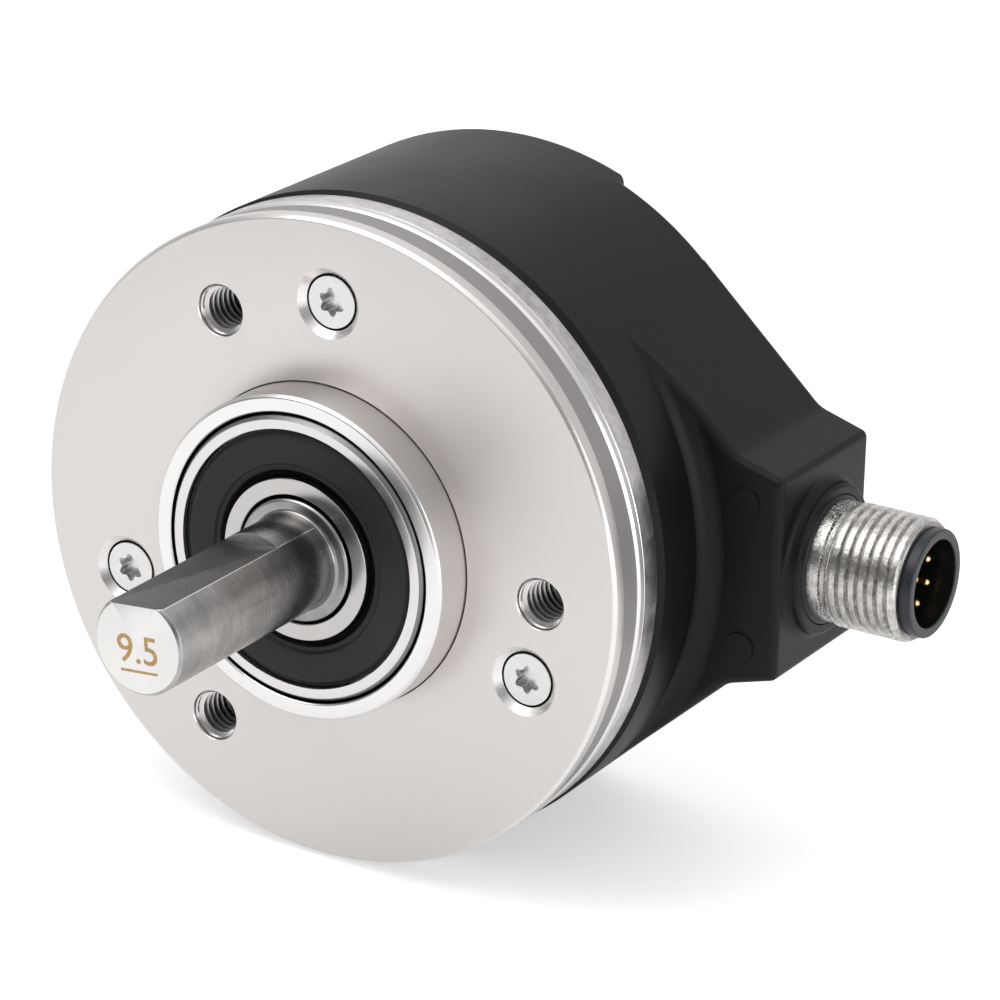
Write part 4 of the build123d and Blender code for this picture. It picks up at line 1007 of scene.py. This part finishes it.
def make_camera():
    """Camera of the photograph, from its fitted place, direction and focal length."""
    place = Vector((228.4, -343.2, 165.5)) * MM
    azimuth, elevation, roll = 0.5472, 0.3717, 0.0238
    back = Vector((sin(azimuth) * cos(elevation), -cos(azimuth) * cos(elevation), sin(elevation)))
    level = Vector((cos(azimuth), sin(azimuth), 0))
    rise = back.cross(level)
    right = cos(roll) * level + sin(roll) * rise
    upward = cos(roll) * rise - sin(roll) * level
    data = bpy.data.cameras.new("camera")
    data.sensor_width = 36
    data.lens = 171.37
    data.clip_start = 0.01
    camera = bpy.data.objects.new("camera", data)
    bpy.context.collection.objects.link(camera)
    turn = Matrix((right, upward, back)).transposed().to_4x4()
    camera.matrix_world = Matrix.Translation(place) @ turn
    bpy.context.scene.camera = camera


def area_light(name, place, aim, size, power):
    """Square soft light that faces a point; places in metres."""
    data = bpy.data.lights.new(name, "AREA")
    data.shape = "SQUARE"
    data.size = size
    data.energy = power
    light = bpy.data.objects.new(name, data)
    bpy.context.collection.objects.link(light)
    light.location = place
    light.rotation_euler = (Vector(aim) - Vector(place)).to_track_quat("-Z", "Y").to_euler()


def make_world():
    """Pale studio, bright overhead and dark low in front, with a white backdrop for the camera."""
    world = bpy.data.worlds.new("studio")
    bpy.context.scene.world = world
    world.use_nodes = True
    tree = world.node_tree
    parts = tree.nodes.new("ShaderNodeSeparateXYZ")
    direction = tree.nodes.new("ShaderNodeTexCoord")
    tree.links.new(direction.outputs["Generated"], parts.inputs[0])
    front = tree.nodes.new("ShaderNodeMapRange")
    front.inputs["From Min"].default_value = 0.1
    front.inputs["From Max"].default_value = -0.35
    tree.links.new(parts.outputs["Y"], front.inputs["Value"])
    rays = tree.nodes.new("ShaderNodeLightPath")
    around = tree.nodes.new("ShaderNodeMix")
    around.data_type = "RGBA"
    tree.links.new(front.outputs["Result"], around.inputs["Factor"])
    tree.links.new(grey_ramp(tree, parts.outputs["Z"], (
        (0.0, 0.8), (0.25, 0.68), (0.5, 0.6), (0.65, 0.74), (0.8, 1.0))), around.inputs["A"])
    tree.links.new(grey_ramp(tree, parts.outputs["Z"], (
        (0.0, 0.6), (0.08, 0.3), (0.2, 0.15), (0.45, 0.2), (0.62, 0.5), (0.8, 1.0))),
        around.inputs["B"])
    seen = tree.nodes.new("ShaderNodeMix")
    seen.data_type = "RGBA"
    tree.links.new(rays.outputs["Is Camera Ray"], seen.inputs["Factor"])
    tree.links.new(around.outputs["Result"], seen.inputs["A"])
    seen.inputs["B"].default_value = (1, 1, 1, 1)
    tree.links.new(seen.outputs["Result"], tree.nodes["Background"].inputs["Color"])


def make_floor():
    """White floor that keeps the object's soft shadow."""
    bm = bmesh.new()
    bmesh.ops.create_grid(bm, x_segments=1, y_segments=1, size=FLOOR_HALF_SIDE)
    bmesh.ops.translate(bm, vec=(0, 0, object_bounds()[0][2] - FLOOR_GAP), verts=bm.verts[:])
    mesh = bpy.data.meshes.new("floor")
    bm.to_mesh(mesh)
    bm.free()
    floor = bpy.data.objects.new("floor", mesh)
    bpy.context.collection.objects.link(floor)
    material = bpy.data.materials.new("floor_white")
    material.use_nodes = True
    tree = material.node_tree
    shader = tree.nodes["Principled BSDF"]
    shader.inputs["Base Color"].default_value = (0.85, 0.85, 0.85, 1)
    shader.inputs["Roughness"].default_value = 0.8
    shader.inputs["Emission Color"].default_value = (1, 1, 1, 1)
    rays = tree.nodes.new("ShaderNodeLightPath")
    straight = math_node(tree, "MULTIPLY", rays.outputs["Is Camera Ray"], FLOOR_GLOW)
    mirrored = math_node(tree, "MULTIPLY", rays.outputs["Is Glossy Ray"], FLOOR_MIRROR_GLOW)
    tree.links.new(math_node(tree, "ADD", straight, mirrored), shader.inputs["Emission Strength"])
    mesh.materials.append(material)


def make_lights():
    """Large soft lights: one high at the left front, a weak one behind, one low at the right."""
    area_light("key_light", (-0.25, -0.3, 0.7), (0, 0, 0), 0.5, 1.8)
    area_light("back_light", (-0.35, 0.6, 0.35), (0, 0.02, 0), 0.5, 0.25)
    area_light("fill_light", (0.6, -0.15, 0.14), (0.02, 0, 0), 0.35, 0.9)


dress_frame_nodes()
make_flange()
make_screws()
make_bearing()
make_shaft()
make_end_mark()
make_connector()
make_camera()
make_world()
make_floor()
make_lights()

bpy.context.scene.view_settings.view_transform = "Standard"
